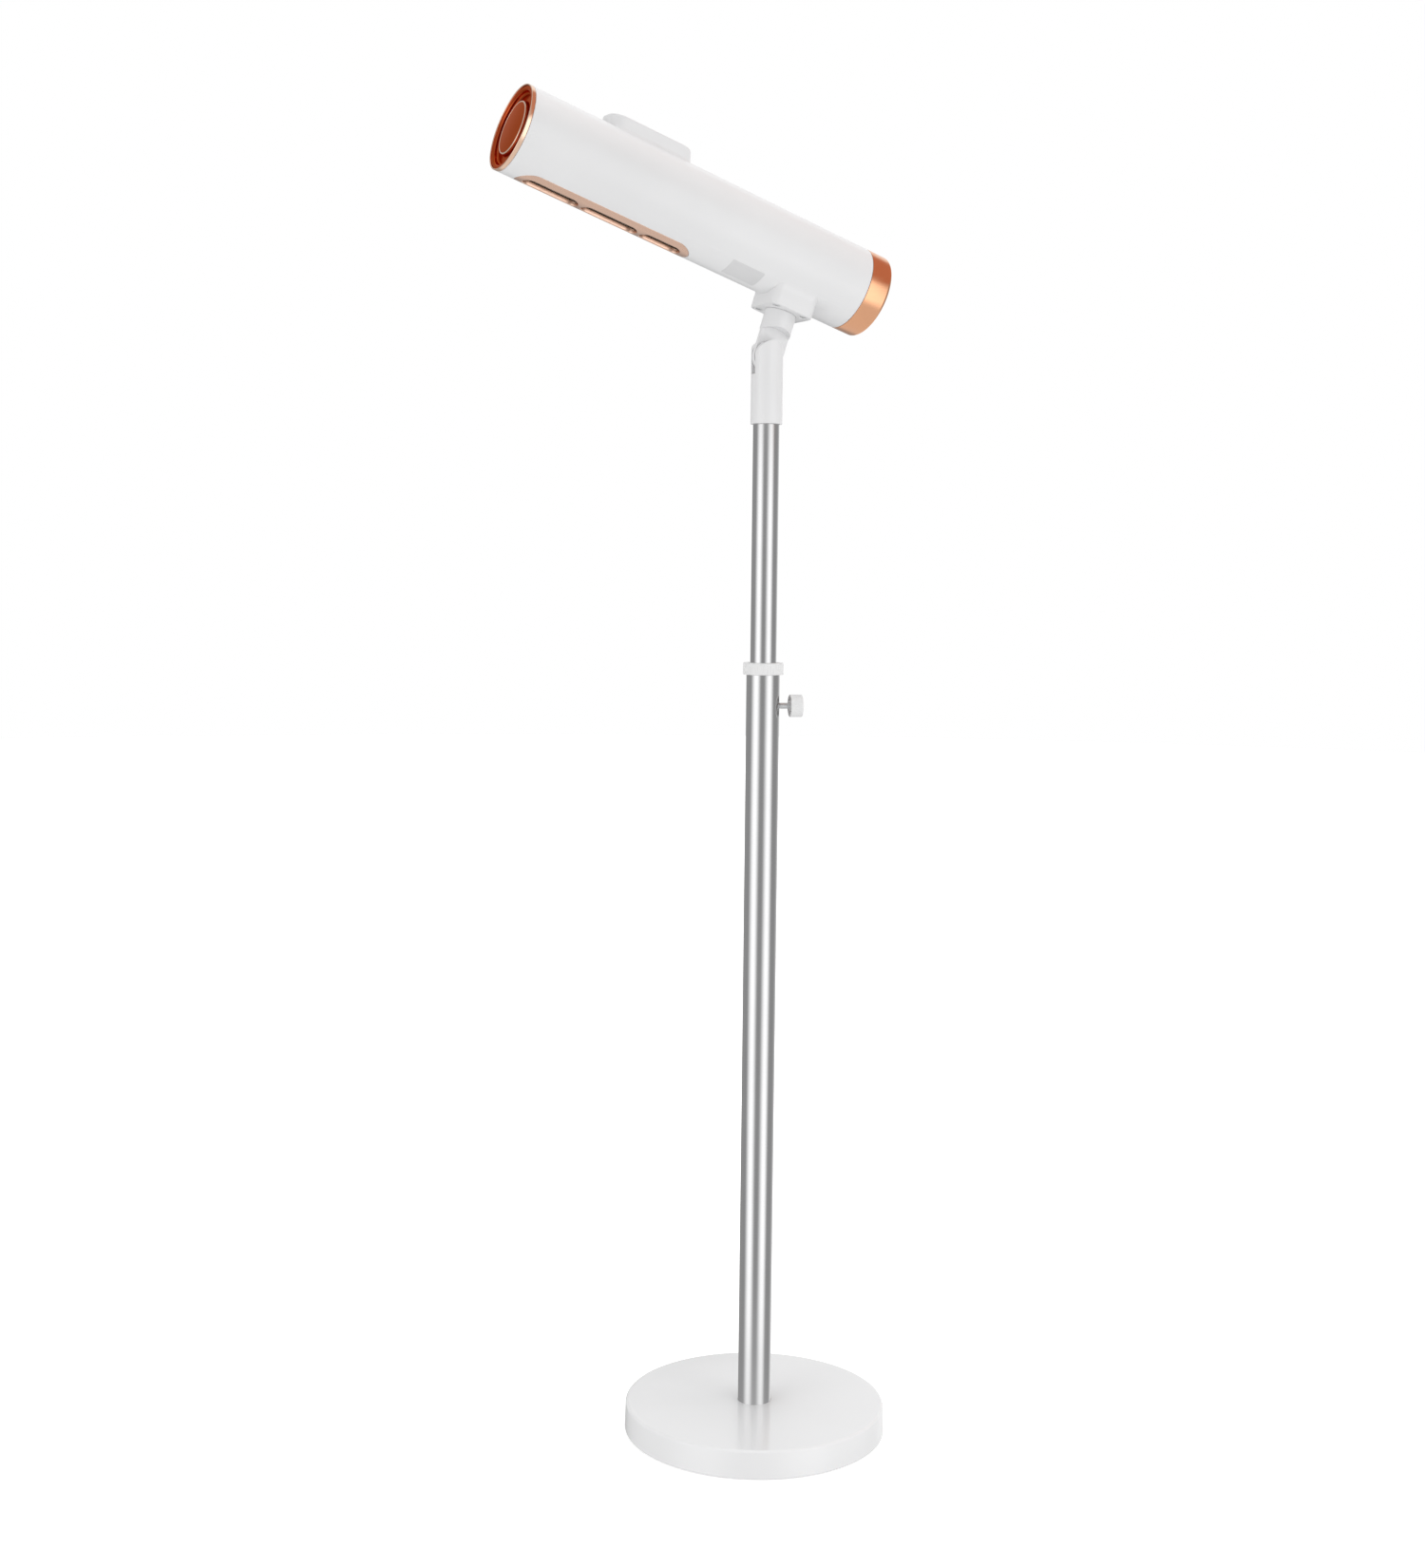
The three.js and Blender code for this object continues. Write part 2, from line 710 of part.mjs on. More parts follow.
function pivotBolt() {
  const headBottom = cheekFlat - pivotHeadHeight + seatGap;
  const head = rod(pivotHeadRadius, headBottom, headBottom + pivotHeadHeight, smallFacets);
  const shank = rod(pivotBoltRadius, nearCheekLeft - cheekFlat + seatGap, headBottom + overcut, smallFacets);
  const socket = prism(hexagon(pivotSocket), headBottom + pivotSocketFloor,
    headBottom + pivotHeadHeight + overcut);
  const geometry = alongY(cut(join(head, shank), socket)).translate(0, 0, sleeveToPivot);
  return piece('pivot_bolt', geometry, zincSteel);
}

function frictionWasher(name, side) {
  const inner = tongueThickness / 2 + seatGap;
  const hole = pivotBoltRadius + seatGap;
  const washer = ring(hole, frictionWasherRadius, inner, inner + frictionWasherThickness, smallFacets);
  const geometry = washer.rotateX((-side * Math.PI) / 2).translate(0, 0, sleeveToPivot);
  return piece(name, geometry, nylon);
}

// The tongue and everything above it tilt about the pivot: heights are from the pivot.
const plateSeat = pivotToAxis - bracketDrop;

function knuckleTongue() {
  const collarOfStub = rod(forkRadius, 0, plateSeat - seatGap, tubeFacets);
  const tongueHalf = tongueThickness / 2;
  const shoulders = [-1, 1].map((side) => rod(shoulderRadius, tongueHalf, forkRadius + overcut, headFacets)
    .rotateX((-side * Math.PI) / 2));
  const tongueEnd = alongY(rod(forkRadius, -tongueHalf, tongueHalf, tubeFacets));
  const nutTop = plateSeat + plateThickness + spigotWasherThickness + spigotNutHeight + 3 * seatGap;
  const spigot = rod(spigotRadius, plateSeat - overcut, nutTop + spigotEnd, smallFacets);
  const boltHole = alongY(rod(pivotBoltRadius + seatGap, -forkRadius, forkRadius, smallFacets));
  const geometry = cut(join(cut(collarOfStub, ...shoulders), tongueEnd, spigot), boltHole);
  return piece('knuckle_tongue', geometry, whiteSatin);
}

function spigotWasher() {
  const bottom = plateSeat + plateThickness + seatGap;
  const hole = spigotRadius + seatGap;
  const geometry = ring(hole, spigotWasherRadius, bottom, bottom + spigotWasherThickness, smallFacets);
  return piece('spigot_washer', geometry, zincSteel);
}

function spigotNutPiece() {
  const bottom = plateSeat + plateThickness + spigotWasherThickness + 2 * seatGap;
  const nut = prism(hexagon(spigotNut), bottom, bottom + spigotNutHeight);
  const hole = rod(spigotRadius + seatGap, bottom - overcut, bottom + spigotNutHeight + overcut, smallFacets);
  return piece('spigot_nut', cut(nut, hole), zincSteel);
}

// ---------------------------------------------------------------- head shell
// From here the origin is on the head's own axis, above the pivot. The head's front is along -X:
// a place "ahead" of the bracket's centre is at minus that much in X.

// Widths of a pod or bracket wall that sweeps out to meet the head's round side: a wall at
// halfWidth runs straight until the blend's circle, which touches both the wall and the shell.
function blendLevels(halfWidth, blend) {
  const centreHeight = Math.sqrt((headRadius + blend) ** 2 - (halfWidth + blend) ** 2);
  const touchHeight = (centreHeight * headRadius) / (headRadius + blend);
  return Array.from({ length: cornerSteps + 1 }, (_, i) => {
    const height = centreHeight + ((touchHeight - centreHeight) * i) / cornerSteps;
    const sag = Math.sqrt(blend ** 2 - (centreHeight - height) ** 2);
    return [halfWidth + blend - sag, height];
  });
}

// The pod's outline at its top, drawn in by a margin all round
const podOutline = (margin) =>
  roundedRectangle(podLength - 2 * margin, podWidth - 2 * margin, podCorner - margin);

function podBody() {
  const sweep = blendLevels(podWidth / 2, podBlend).reverse();
  const [widest] = sweep[0];
  const lean = Math.tan(degrees(podRearLean));
  const level = (inset, halfWidth, height) => [
    podOutline(inset).map(([x, y]) =>
      [x > 0 ? x + (podRise - height) * lean : x, (y * halfWidth) / (podWidth / 2)]),
    height,
  ];
  const levels = [
    level(0, widest, podRoot),
    ...sweep.map(([halfWidth, height]) => level(0, halfWidth, height)),
    level(0, podWidth / 2, podRise - podEdge),
    level(podEdge, podWidth / 2, podRise),
  ];
  return loft(levels).translate(-podMiddle, 0, 0);
}

function bracketBody() {
  const halfWidth = bracketWidth / 2;
  const sweep = blendLevels(halfWidth, bracketBlend);
  const outline = (half) => roundedRectangle(bracketLength, 2 * half, bracketRound);
  const [widest] = sweep[sweep.length - 1];
  const levels = [
    [outline(halfWidth), -bracketDrop],
    ...sweep.map(([half, height]) => [outline(half), -height]),
    [outline(widest), -bracketRoot],
  ];
  return loft(levels);
}

function podCavity() {
  const panelSeat = panelBottom - seatGap;
  const boardSeat = boardTop - boardThickness - seatGap;
  const steps = [
    prism(podOutline(podWall), panelSeat, podRise + overcut),
    prism(podOutline(podWall + panelLedge), boardSeat, panelSeat + overcut),
    prism(podOutline(podWall + panelLedge + boardLedge), 0, boardSeat + overcut),
  ].map((step) => step.translate(-podMiddle, 0, 0));
  return cut(join(...steps), forward(rod(headRadius, 0, podFront + overcut, headFacets)));
}

function bracketCavity() {
  const inner = roundedRectangle(bracketLength - 2 * bracketWall, bracketWidth - 2 * bracketWall,
    bracketRound - bracketWall);
  const hollow = cut(
    prism(inner, -bracketDrop - overcut, 0),
    alongX(rod(headRadius, -bracketLength, bracketLength, headFacets)),
  );
  return cut(hollow, ...screwBosses());
}

const screwPlaces = [[-1, -1], [1, -1], [1, 1], [-1, 1]].map(([x, y]) =>
  [x * plateScrewX, y * plateScrewY]);

const screwBosses = () => screwPlaces.map(([x, y]) =>
  rod(screwBossRadius, plateTop + seatGap, 0, smallFacets).translate(x, y, 0));

const screwBores = () => screwPlaces.map(([x, y]) =>
  rod(plateScrewRadius + seatGap, -bracketDrop - overcut,
    -bracketDrop + plateScrewLength + screwPointRoom, screwFacets).translate(x, y, 0));

const glandHeight = -bracketDrop + glandRise;
const glandBodyRadius = glandHoleRadius + glandWall;

function outletOpening(margin) {
  return stadium(outletLength + 2 * margin, outletWidth + 2 * margin);
}

function headShell() {
  const tube = revolveForward([
    [0, -headRear], [headRadius, -headRear], [headRadius, headFront], [0, headFront],
  ], headFacets);
  const bore = forward(rod(headBore, -headRear - overcut, headFront + overcut, headFacets));
  const outer = join(tube, podBody(), bracketBody());
  const window = prism(outletOpening(seatGap), -headRadius - overcut, -headBore / 2)
    .translate(-outletMiddle, 0, 0);
  const wireHole = rod(wireHoleRadius, -headRadius - overcut, 0, smallFacets);
  const podWires = rod(podWireRadius, headBore / 2, headRadius + overcut, smallFacets)
    .translate(-podMiddle, 0, 0);
  const glandHole = alongY(rod(glandBodyRadius + seatGap, bracketWidth / 4, bracketWidth, smallFacets))
    .translate(0, 0, glandHeight);
  const geometry = cut(outer, bore, podCavity(), bracketCavity(), window, wireHole, podWires,
    glandHole, ...screwBores());
  return piece('head_shell', geometry, whiteSatin);
}

// ---------------------------------------------------------------- ends of the head

function frontRing() {
  const inner = frontSpigotBore;
  const back = headFront - spigotLength;
  const face = headFront + seatGap;
  const seat = face + ringFlange;
  const lip = headRadius - bezelLip;
  const round = bezelLip / 2;
  const profile = closed([
    [inner, back],
    [spigotRadiusOut, back],
    [spigotRadiusOut, face],
    [headRadius, face],
    ...arc(headRadius - round, frontLip - round, round, 0, 180),
    [lip, seat],
    [inner, seat],
  ]);
  return piece('front_ring', revolveForward(profile, headFacets), roseGold);
}

function frontCap() {
  const outer = headRadius - bezelLip - seatGap;
  const floor = frontLip - dishDepth;
  const top = floor + dishBossHeight;
  const rim = frontLip - dishRimBack;
  const seat = headFront + seatGap + ringFlange + seatGap;
  const plug = frontSpigotBore - seatGap;
  const dishEdge = plug - dishWall;
  const profile = [
    [0, floor - dishFloor],
    [plug, floor - dishFloor],
    [plug, seat],
    [outer, seat],
    [outer, rim],
    [outer - dishWall, rim],
    [dishEdge, seat + dishWall],
    [dishEdge, floor + dishRootRound],
    [dishEdge - dishRootRound, floor],
    [dishBossRadius + dishRootRound / 2, floor],
    ...arc(dishBossRadius - dishBossRound, top - dishBossRound, dishBossRound, 0, 90),
    [0, top],
  ];
  return piece('front_cap', revolveForward(profile, headFacets), burntCopper);
}

function rearBand() {
  const face = -headRear - seatGap;
  const spigotEndPlace = -headRear + spigotLength;
  const profile = closed([
    [rearOpening, rearEnd],
    ...arc(headRadius - rearBandRound, rearEnd + rearBandRound, rearBandRound, -90, 0),
    [headRadius, face],
    [spigotRadiusOut, face],
    [spigotRadiusOut, spigotEndPlace],
    [rearBandBore, spigotEndPlace],
    [rearBandBore, rearEnd + rearLip],
    [rearOpening, rearEnd + rearLip],
  ]);
  return piece('rear_band', revolveForward(profile, headFacets), roseGold);
}

// Arc-shaped slot of the intake grille, between two of its spokes
function grilleSlot(inner, outer, middle, sweep) {
  const spread = (radius) => sweep / 2 - THREE.MathUtils.radToDeg(grilleBar / 2 / radius);
  return [
    ...arc(0, 0, outer, middle - spread(outer), middle + spread(outer), grilleSlotSteps),
    ...arc(0, 0, inner, middle + spread(inner), middle - spread(inner), grilleSlotSteps),
  ];
}

function rearGrille() {
  const disc = shapeOf(circle(grilleRadius, headFacets));
  const pitch = (rearOpening - grilleHub) / grilleRings;
  const sweep = 360 / grilleSpokes;
  for (let row = 0; row < grilleRings; row += 1) {
    const inner = grilleHub + row * pitch;
    for (let spoke = 0; spoke < grilleSpokes; spoke += 1) {
      const slot = grilleSlot(inner, inner + pitch - grilleBar, (spoke + 0.5) * sweep, sweep);
      disc.holes.push(shapeOf(slot));
    }
  }
  const options = { depth: grilleThickness, bevelEnabled: false };
  const plate = new THREE.ExtrudeGeometry(disc, options).translate(0, 0, grilleRearFace);
  return piece('rear_grille', forward(plate), roseGold);
}

// ---------------------------------------------------------------- bracket plate and cord gland

function bracketPlate() {
  const margin = bracketWall + seatGap;
  const outline = roundedRectangle(bracketLength - 2 * margin, bracketWidth - 2 * margin,
    bracketRound - margin);
  const plate = prism(outline, -bracketDrop, plateTop);
  const hole = rod(spigotRadius + seatGap, -bracketDrop - overcut, plateTop + overcut, smallFacets);
  const sinks = screwPlaces.map(([x, y]) => revolve([
    [0, -bracketDrop - overcut],
    [plateScrewHead + seatGap + overcut, -bracketDrop - overcut],
    [plateScrewRadius + seatGap, plateScrewHead - plateScrewRadius - bracketDrop],
    [plateScrewRadius + seatGap, plateTop + overcut],
    [0, plateTop + overcut],
  ], screwFacets).translate(x, y, 0));
  return piece('bracket_plate', cut(plate, hole, ...sinks), whiteSatin);
}

function plateScrew(name, x, y) {
  const bottom = -bracketDrop + seatGap;
  const geometry = revolve([
    [0, bottom],
    [plateScrewHead, bottom],
    [plateScrewRadius, bottom + plateScrewHead - plateScrewRadius],
    [plateScrewRadius, -bracketDrop + plateScrewLength],
    [0, -bracketDrop + plateScrewLength],
  ], screwFacets);
  return piece(name, geometry.translate(x, y, 0), zincSteel);
}

function cordGland() {
  const outside = bracketWidth / 2 + seatGap;
  const inside = bracketWidth / 2 - bracketWall - glandInside;
  const profile = closed([
    [glandHoleRadius, inside],
    [glandBodyRadius, inside],
    [glandBodyRadius, outside],
    [glandFlange, outside],
    [glandFlange, outside + glandFlangeThickness - glandFlangeEase],
    [glandFlange - glandFlangeEase, outside + glandFlangeThickness],
    [glandHoleRadius, outside + glandFlangeThickness],
  ]);
  const geometry = alongY(revolve(profile, smallFacets)).translate(0, 0, glandHeight);
  return piece('cord_gland', geometry, nylon);
}

// ---------------------------------------------------------------- air outlet

function outletFrame() {
  const place = (geometry) => geometry.translate(-outletMiddle, 0, 0);
  const wall = (inner, outer) => revolveForward(closed([
    [inner, outletRear - 2 * outletFlange],
    [outer, outletRear - 2 * outletFlange],
    [outer, outletFront + 2 * outletFlange],
    [inner, outletFront + 2 * outletFlange],
  ]), headFacets);
  const flangeOuter = headBore - seatGap;
  const body = common(wall(outletBore, headRadius),
    place(prism(outletOpening(0), -headRadius - overcut, 0)));
  const flange = common(wall(flangeOuter - outletFlangeThickness, flangeOuter),
    place(prism(outletOpening(outletFlange), -headRadius - overcut, 0)));
  const slots = [];
  let slotFront = outletFront - slotFrontMargin;
  for (const length of slotLengths) {
    slots.push(prism(stadium(length, slotWidth), -headRadius - overcut, 0)
      .translate(-(slotFront - length / 2), 0, 0));
    slotFront -= length + slotBar;
  }
  return piece('outlet_frame', cut(join(body, flange), ...slots), paleRoseGold);
}

function outletMesh() {
  const outer = outletBore - seatGap;
  const rear = outletRear + meshMargin;
  const front = outletFront - meshMargin;
  const wall = revolveForward(closed([
    [outer - meshThickness, rear], [outer, rear], [outer, front], [outer - meshThickness, front],
  ]), headFacets);
  const outline = stadium(outletLength - 2 * meshMargin, outletWidth - 2 * meshMargin);
  const reach = prism(outline, -headRadius, 0).translate(-outletMiddle, 0, 0);
  return piece('outlet_mesh', common(wall, reach), polishedSteel);
}

// ---------------------------------------------------------------- heater

function airDuct() {
  const half = ductHalfWidth;
  const reach = half + ductWall;
  const foot = -headRadius;
  const outline = [
    [-reach, foot], [-half, foot], [-half, ductRoof], [half, ductRoof],
    [half, foot], [reach, foot], [reach, ductRoof + ductWall], [-reach, ductRoof + ductWall],
  ];
  // The outline lies in Y and Z, and is drawn out along X
  const tunnel = prism(outline, -ductFront, -ductRear).applyMatrix4(
    new THREE.Matrix4().set(0, 0, 1, 0, 1, 0, 0, 0, 0, 1, 0, 0, 0, 0, 0, 1));
  const endWall = block(ductWall, 2 * half + overcut, headRadius + ductRoof + overcut,
    -ductFront + ductWall / 2, 0, (ductRoof - headRadius) / 2);
  const inside = forward(rod(headBore - seatGap, ductRear - overcut, ductFront + overcut, headFacets));
  return piece('air_duct', common(join(tunnel, endWall), inside), mica);
}

function heaterFrame() {
  const arm = coilRadius - coilWire - seatGap;
  const halfLength = coilLength / 2 + micaOverrun;
  const upright = block(2 * halfLength, micaThickness, 2 * arm, 0, 0, 0);
  const level = block(2 * halfLength, 2 * arm, micaThickness, 0, 0, 0);
  const ends = [-1, 1].map((side) => block(micaEndThickness, 2 * (ductHalfWidth - seatGap), micaEndHeight,
    side * (halfLength - micaEndThickness / 2), 0, 0));
  const rise = ductRoof - seatGap - micaEndHeight / 2;
  const lifted = ends.map((end) => end.translate(0, 0, rise + heaterDrop));
  const geometry = join(upright, level, ...lifted).translate(-outletMiddle, 0, -heaterDrop);
  return piece('heater_frame', geometry, mica);
}

class Helix extends THREE.Curve {
  getPoint(t, target = new THREE.Vector3()) {
    const angle = 2 * Math.PI * coilTurns * t;
    const x = -outletMiddle + coilLength * (t - 0.5);
    return target.set(x, coilRadius * Math.cos(angle), coilRadius * Math.sin(angle) - heaterDrop);
  }
}

function heaterCoil() {
  const wire = shapeOf(circle(coilWire, 4));
  const options = { steps: coilTurns * coilStepsPerTurn, bevelEnabled: false, extrudePath: new Helix() };
  return piece('heater_coil', new THREE.ExtrudeGeometry(wire, options), nichrome);
}

function terminalBlock() {
  const floor = -Math.sqrt(headBore ** 2 - (terminalWidth / 2) ** 2) + seatGap;
  const body = block(terminalLength, terminalWidth, terminalHeight, 0, 0, 0);
  const bores = Array.from({ length: terminalBores }, (_, i) =>
    rod(terminalBoreRadius, 0, terminalHeight, screwFacets)
      .translate(((i + 0.5) / terminalBores - 0.5) * terminalLength, 0, 0));
  const geometry = cut(body, ...bores).translate(-terminalPlace, 0, floor + terminalHeight / 2);
  return piece('terminal_block', geometry, nylon);
}

// ---------------------------------------------------------------- fan

function motorMount() {
  const rear = -headRear + spigotLength + seatGap;
  const front = rear + mountLength;
  const middle = (rear + front) / 2;
  const cup = motorRadius + seatGap;
  const outerRing = ring(spigotRadiusOut - mountWall, spigotRadiusOut, rear, front, tubeFacets);
  const innerRing = ring(cup, cup + mountWall, rear, front, tubeFacets);
  const spokeInner = cup + mountWall / 2;
  const spokeOuter = spigotRadiusOut - mountWall / 2;
  const spokes = Array.from({ length: mountSpokes }, (_, i) =>
    block(spokeOuter - spokeInner, mountSpokeWidth, mountLength,
      (spokeInner + spokeOuter) / 2, 0, middle)
      .rotateZ(((i + 0.5) * 2 * Math.PI) / mountSpokes));
  return piece('motor_mount', forward(join(outerRing, innerRing, ...spokes)), nylon);
}

function fanMotor() {
  const front = motorRear + motorLength;
  const shaftEnd = fanRear + shaftInHub;
  const profile = [
    [0, shaftEnd],
    [shaftRadius, shaftEnd],
    [shaftRadius, motorRear],
    ...arc(motorRadius - motorRound, motorRear + motorRound, motorRound, -90, 0, 2),
    ...arc(motorRadius - motorRound, front - motorRound, motorRound, 0, 90, 2),
    [0, front],
  ];
  return piece('fan_motor', revolveForward(profile, tubeFacets), zincSteel);
}

function fanImpeller() {
  const hub = revolve(closed([
    [shaftRadius + seatGap, fanRear + fanHubDish],
    [fanHubRadius - fanHubEase, fanRear],
    [fanHubRadius, fanRear + fanHubEase],
    [fanHubRadius, fanRear + fanDepth],
    [shaftRadius + seatGap, fanRear + fanDepth],
  ]), smallFacets);
  const chord = (fanDepth - 2 * fanBladeInset) / Math.sin(degrees(fanHubPitch));
  const middle = fanRear + fanDepth / 2 - fanBladeInset / 2;
  const blade = sheet((u, v, side) => {
    const radius = THREE.MathUtils.lerp(fanHubRadius - overcut, fanRadius, u);
    const pitch = degrees(THREE.MathUtils.lerp(fanHubPitch, fanTipPitch, u));
    const along = (v - 0.5) * chord;
    const camber = fanCamber * chord * (1 - 4 * (v - 0.5) ** 2) + (side * fanBladeThickness) / 2;
    const across = along * Math.cos(pitch) - camber * Math.sin(pitch);
    const height = middle + along * Math.sin(pitch) + camber * Math.cos(pitch);
    const angle = across / radius;
    return new THREE.Vector3(radius * Math.cos(angle), radius * Math.sin(angle), height);
  }, 2, 4);
  const blades = Array.from({ length: fanBlades }, (_, i) =>
    blade.clone().rotateZ((i * 2 * Math.PI) / fanBlades));
  return piece('fan_impeller', forward(join(hub, ...blades)), whiteSatin);
}

// ---------------------------------------------------------------- controls

const buttonPlaces = Array.from({ length: buttonCount }, (_, i) =>
  -podMiddle + (i - (buttonCount - 1) / 2) * buttonPitch);

function controlPanel() {
  const outline = podOutline(podWall + seatGap);
  const plate = prism(outline, panelBottom, panelTop).translate(-podMiddle, 0, 0);
  const holes = buttonPlaces.map((x) =>
    rod(buttonRadius + seatGap, panelBottom - overcut, panelTop + overcut, smallFacets).translate(x, 0, 0));
  return piece('control_panel', cut(plate, ...holes), whiteGloss);
}

function controlBoard() {
  const outline = podOutline(podWall + panelLedge + seatGap);
  const board = prism(outline, boardTop - boardThickness, boardTop).translate(-podMiddle, 0, 0);
  const switches = buttonPlaces.map((x) =>
    block(switchSize, switchSize, switchHeight + boardThickness, x, 0,
      boardTop + (switchHeight - boardThickness) / 2));
  return piece('control_board', join(board, ...switches), greenBoard);
}

function button(name, x) {
  const bottom = boardTop + switchHeight + seatGap + buttonTravel;
  const flangeTop = panelBottom - seatGap;
  const top = panelTop + buttonProud;
  const stem = buttonRadius - buttonStem;
  const geometry = revolve([
    [0, bottom],
    [stem, bottom],
    [stem, flangeTop - buttonFlangeThickness],
    [buttonRadius + buttonFlange, flangeTop - buttonFlangeThickness],
    [buttonRadius + buttonFlange, flangeTop],
    [buttonRadius, flangeTop],
    ...arc(buttonRadius - buttonRound, top - buttonRound, buttonRound, 0, 90, 1),
    [0, top],
  ], smallFacets);
  return piece(name, geometry.translate(x, 0, 0), whiteGloss);
}

// ---------------------------------------------------------------- assembly

function stand() {
  const group = new THREE.Group();
  group.add(basePad(), baseBallast(), baseCover(), poleBolt(), poleWasher(), footPlug());
  group.add(lowerTube(), guideBush(), collar(), lockNut(), lock());
  return group;
}

function head() {
  const group = new THREE.Group();
  group.position.z = pivotToAxis;
  group.add(headShell(), frontRing(), frontCap(), rearBand(), rearGrille());
  group.add(bracketPlate(), cordGland(), outletFrame(), outletMesh());
  screwPlaces.forEach(([x, y], i) => group.add(plateScrew(`plate_screw_${i + 1}`, x, y)));
  group.add(airDuct(), heaterFrame(), heaterCoil(), terminalBlock());
  group.add(motorMount(), fanMotor(), fanImpeller());
  group.add(controlPanel(), controlBoard());
  buttonPlaces.forEach((x, i) => group.add(button(`button_${i + 1}`, x)));
  return group;
}

function tiltingHead() {
  const group = new THREE.Group();
  group.position.z = sleeveToPivot;
  group.rotation.y = degrees(headTilt);
  group.add(knuckleTongue(), spigotWasher(), spigotNutPiece(), head());
  return group;
}

function mast() {
  const group = new THREE.Group();
  group.position.z = sleeveBottom;
  group.add(upperTube(), guideRing(), knuckleFork(), grubScrew(), pivotBolt());
  group.add(frictionWasher('friction_washer_near', -1), frictionWasher('friction_washer_far', 1));
  group.add(tiltingHead());
  return group;
}

const dryer = new THREE.Group();
dryer.name = 'pet_dryer';
dryer.add(stand(), mast());

export default dryer;
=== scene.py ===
import json
import math
from contextlib import contextmanager

import bmesh
import bpy
from mathutils import Matrix, Vector


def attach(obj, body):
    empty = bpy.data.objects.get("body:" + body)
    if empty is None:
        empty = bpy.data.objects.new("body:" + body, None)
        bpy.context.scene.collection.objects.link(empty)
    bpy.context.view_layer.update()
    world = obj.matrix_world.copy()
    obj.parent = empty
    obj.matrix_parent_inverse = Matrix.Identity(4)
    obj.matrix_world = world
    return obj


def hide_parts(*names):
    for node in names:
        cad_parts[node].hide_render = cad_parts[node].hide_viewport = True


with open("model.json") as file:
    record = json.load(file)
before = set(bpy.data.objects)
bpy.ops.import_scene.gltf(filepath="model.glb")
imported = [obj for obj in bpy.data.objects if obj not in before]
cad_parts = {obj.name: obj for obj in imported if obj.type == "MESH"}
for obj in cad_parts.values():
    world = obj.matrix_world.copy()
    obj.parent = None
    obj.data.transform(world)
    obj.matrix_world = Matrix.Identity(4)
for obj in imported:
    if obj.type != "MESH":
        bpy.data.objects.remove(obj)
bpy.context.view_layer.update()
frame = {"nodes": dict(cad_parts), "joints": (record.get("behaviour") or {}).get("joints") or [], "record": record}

mm = 0.001      # metres
scene = bpy.context.scene
print("frame loaded:", len(frame["nodes"]), "nodes")

seatGap = 0.3   # mm between a piece and its seat
past = 1.0      # mm that a cutting tool reaches past what it cuts


def addObject(name, data):
    made = bpy.data.objects.new(name, data)
    scene.collection.objects.link(made)
    return made


def addShape(name, shape):
    mesh = bpy.data.meshes.new(name)
    shape.to_mesh(mesh)
    shape.free()
    return addObject(name, mesh)


class Nodes:
    # adds nodes to a tree; an input takes a value or another node's output

    def __init__(self, tree):
        self.tree = tree

    def node(self, kind, settings=None, **inputs):
        made = self.tree.nodes.new(kind)
        for key, value in (settings or {}).items():
            setattr(made, key, value)
        self.feed(made, **inputs)
        return made

    def feed(self, node, **inputs):
        # in0, in1 and in2 are inputs by number, other keys are their names
        for key, value in inputs.items():
            socket = node.inputs[int(key[2:]) if key.startswith("in") else key.replace("_", " ")]
            if isinstance(value, bpy.types.NodeSocket):
                self.tree.links.new(value, socket)
            else:
                socket.default_value = value

    def math(self, operation, a, b=0.0, c=0.0):
        return self.node("ShaderNodeMath", {"operation": operation}, in0=a, in1=b, in2=c).outputs[0]


# each piece is shaped in millimetres and put in one of these places
joints = {joint["name"]: joint for joint in frame["joints"]}
pivot = Vector(joints["head_tilt"]["pos_m"])
headForward = Vector(joints["fan_spin"]["axis"]).normalized()
lockOut = Vector(joints["lock_turn"]["axis"]).normalized()


def placeOf(origin, xAxis, yAxis):
    zAxis = xAxis.cross(yAxis)
    turn = Matrix((xAxis, yAxis, zAxis)).transposed().to_4x4()
    return Matrix.Translation(origin) @ turn @ Matrix.Scale(mm, 4)


def spanOf(node, place):
    back = place.inverted()
    points = [back @ v.co for v in frame["nodes"][node].data.vertices]
    return Vector(map(min, zip(*points))), Vector(map(max, zip(*points)))


# the head's own frame: X runs backwards along its axis, Z is its own up, over the bracket's middle
fanPoint = Vector(joints["fan_spin"]["pos_m"])
bracketCentre = fanPoint + headForward * (pivot - fanPoint).dot(headForward)
standPlace = Matrix.Scale(mm, 4)
headPlace = placeOf(bracketCentre, -headForward, Vector((0, 1, 0)))
lockPlace = placeOf(Vector(joints["lock_turn"]["pos_m"]), lockOut, Vector((-lockOut.y, lockOut.x, 0)))
pivotHeight = pivot.z / mm
pivotDrop = (headPlace.inverted() @ pivot).z  # of the pivot, in the head's frame


# angles in degrees, places in metres, the lens in millimetres
view = {
    "azimuth": -28.465, "distance": 2.03498, "height": 0.83862,
    "turn": -1.849, "pitch": 5.586, "roll": 0.543,
    "lens": 48.86, "shiftX": 0.01215, "shiftY": -0.00134,
}


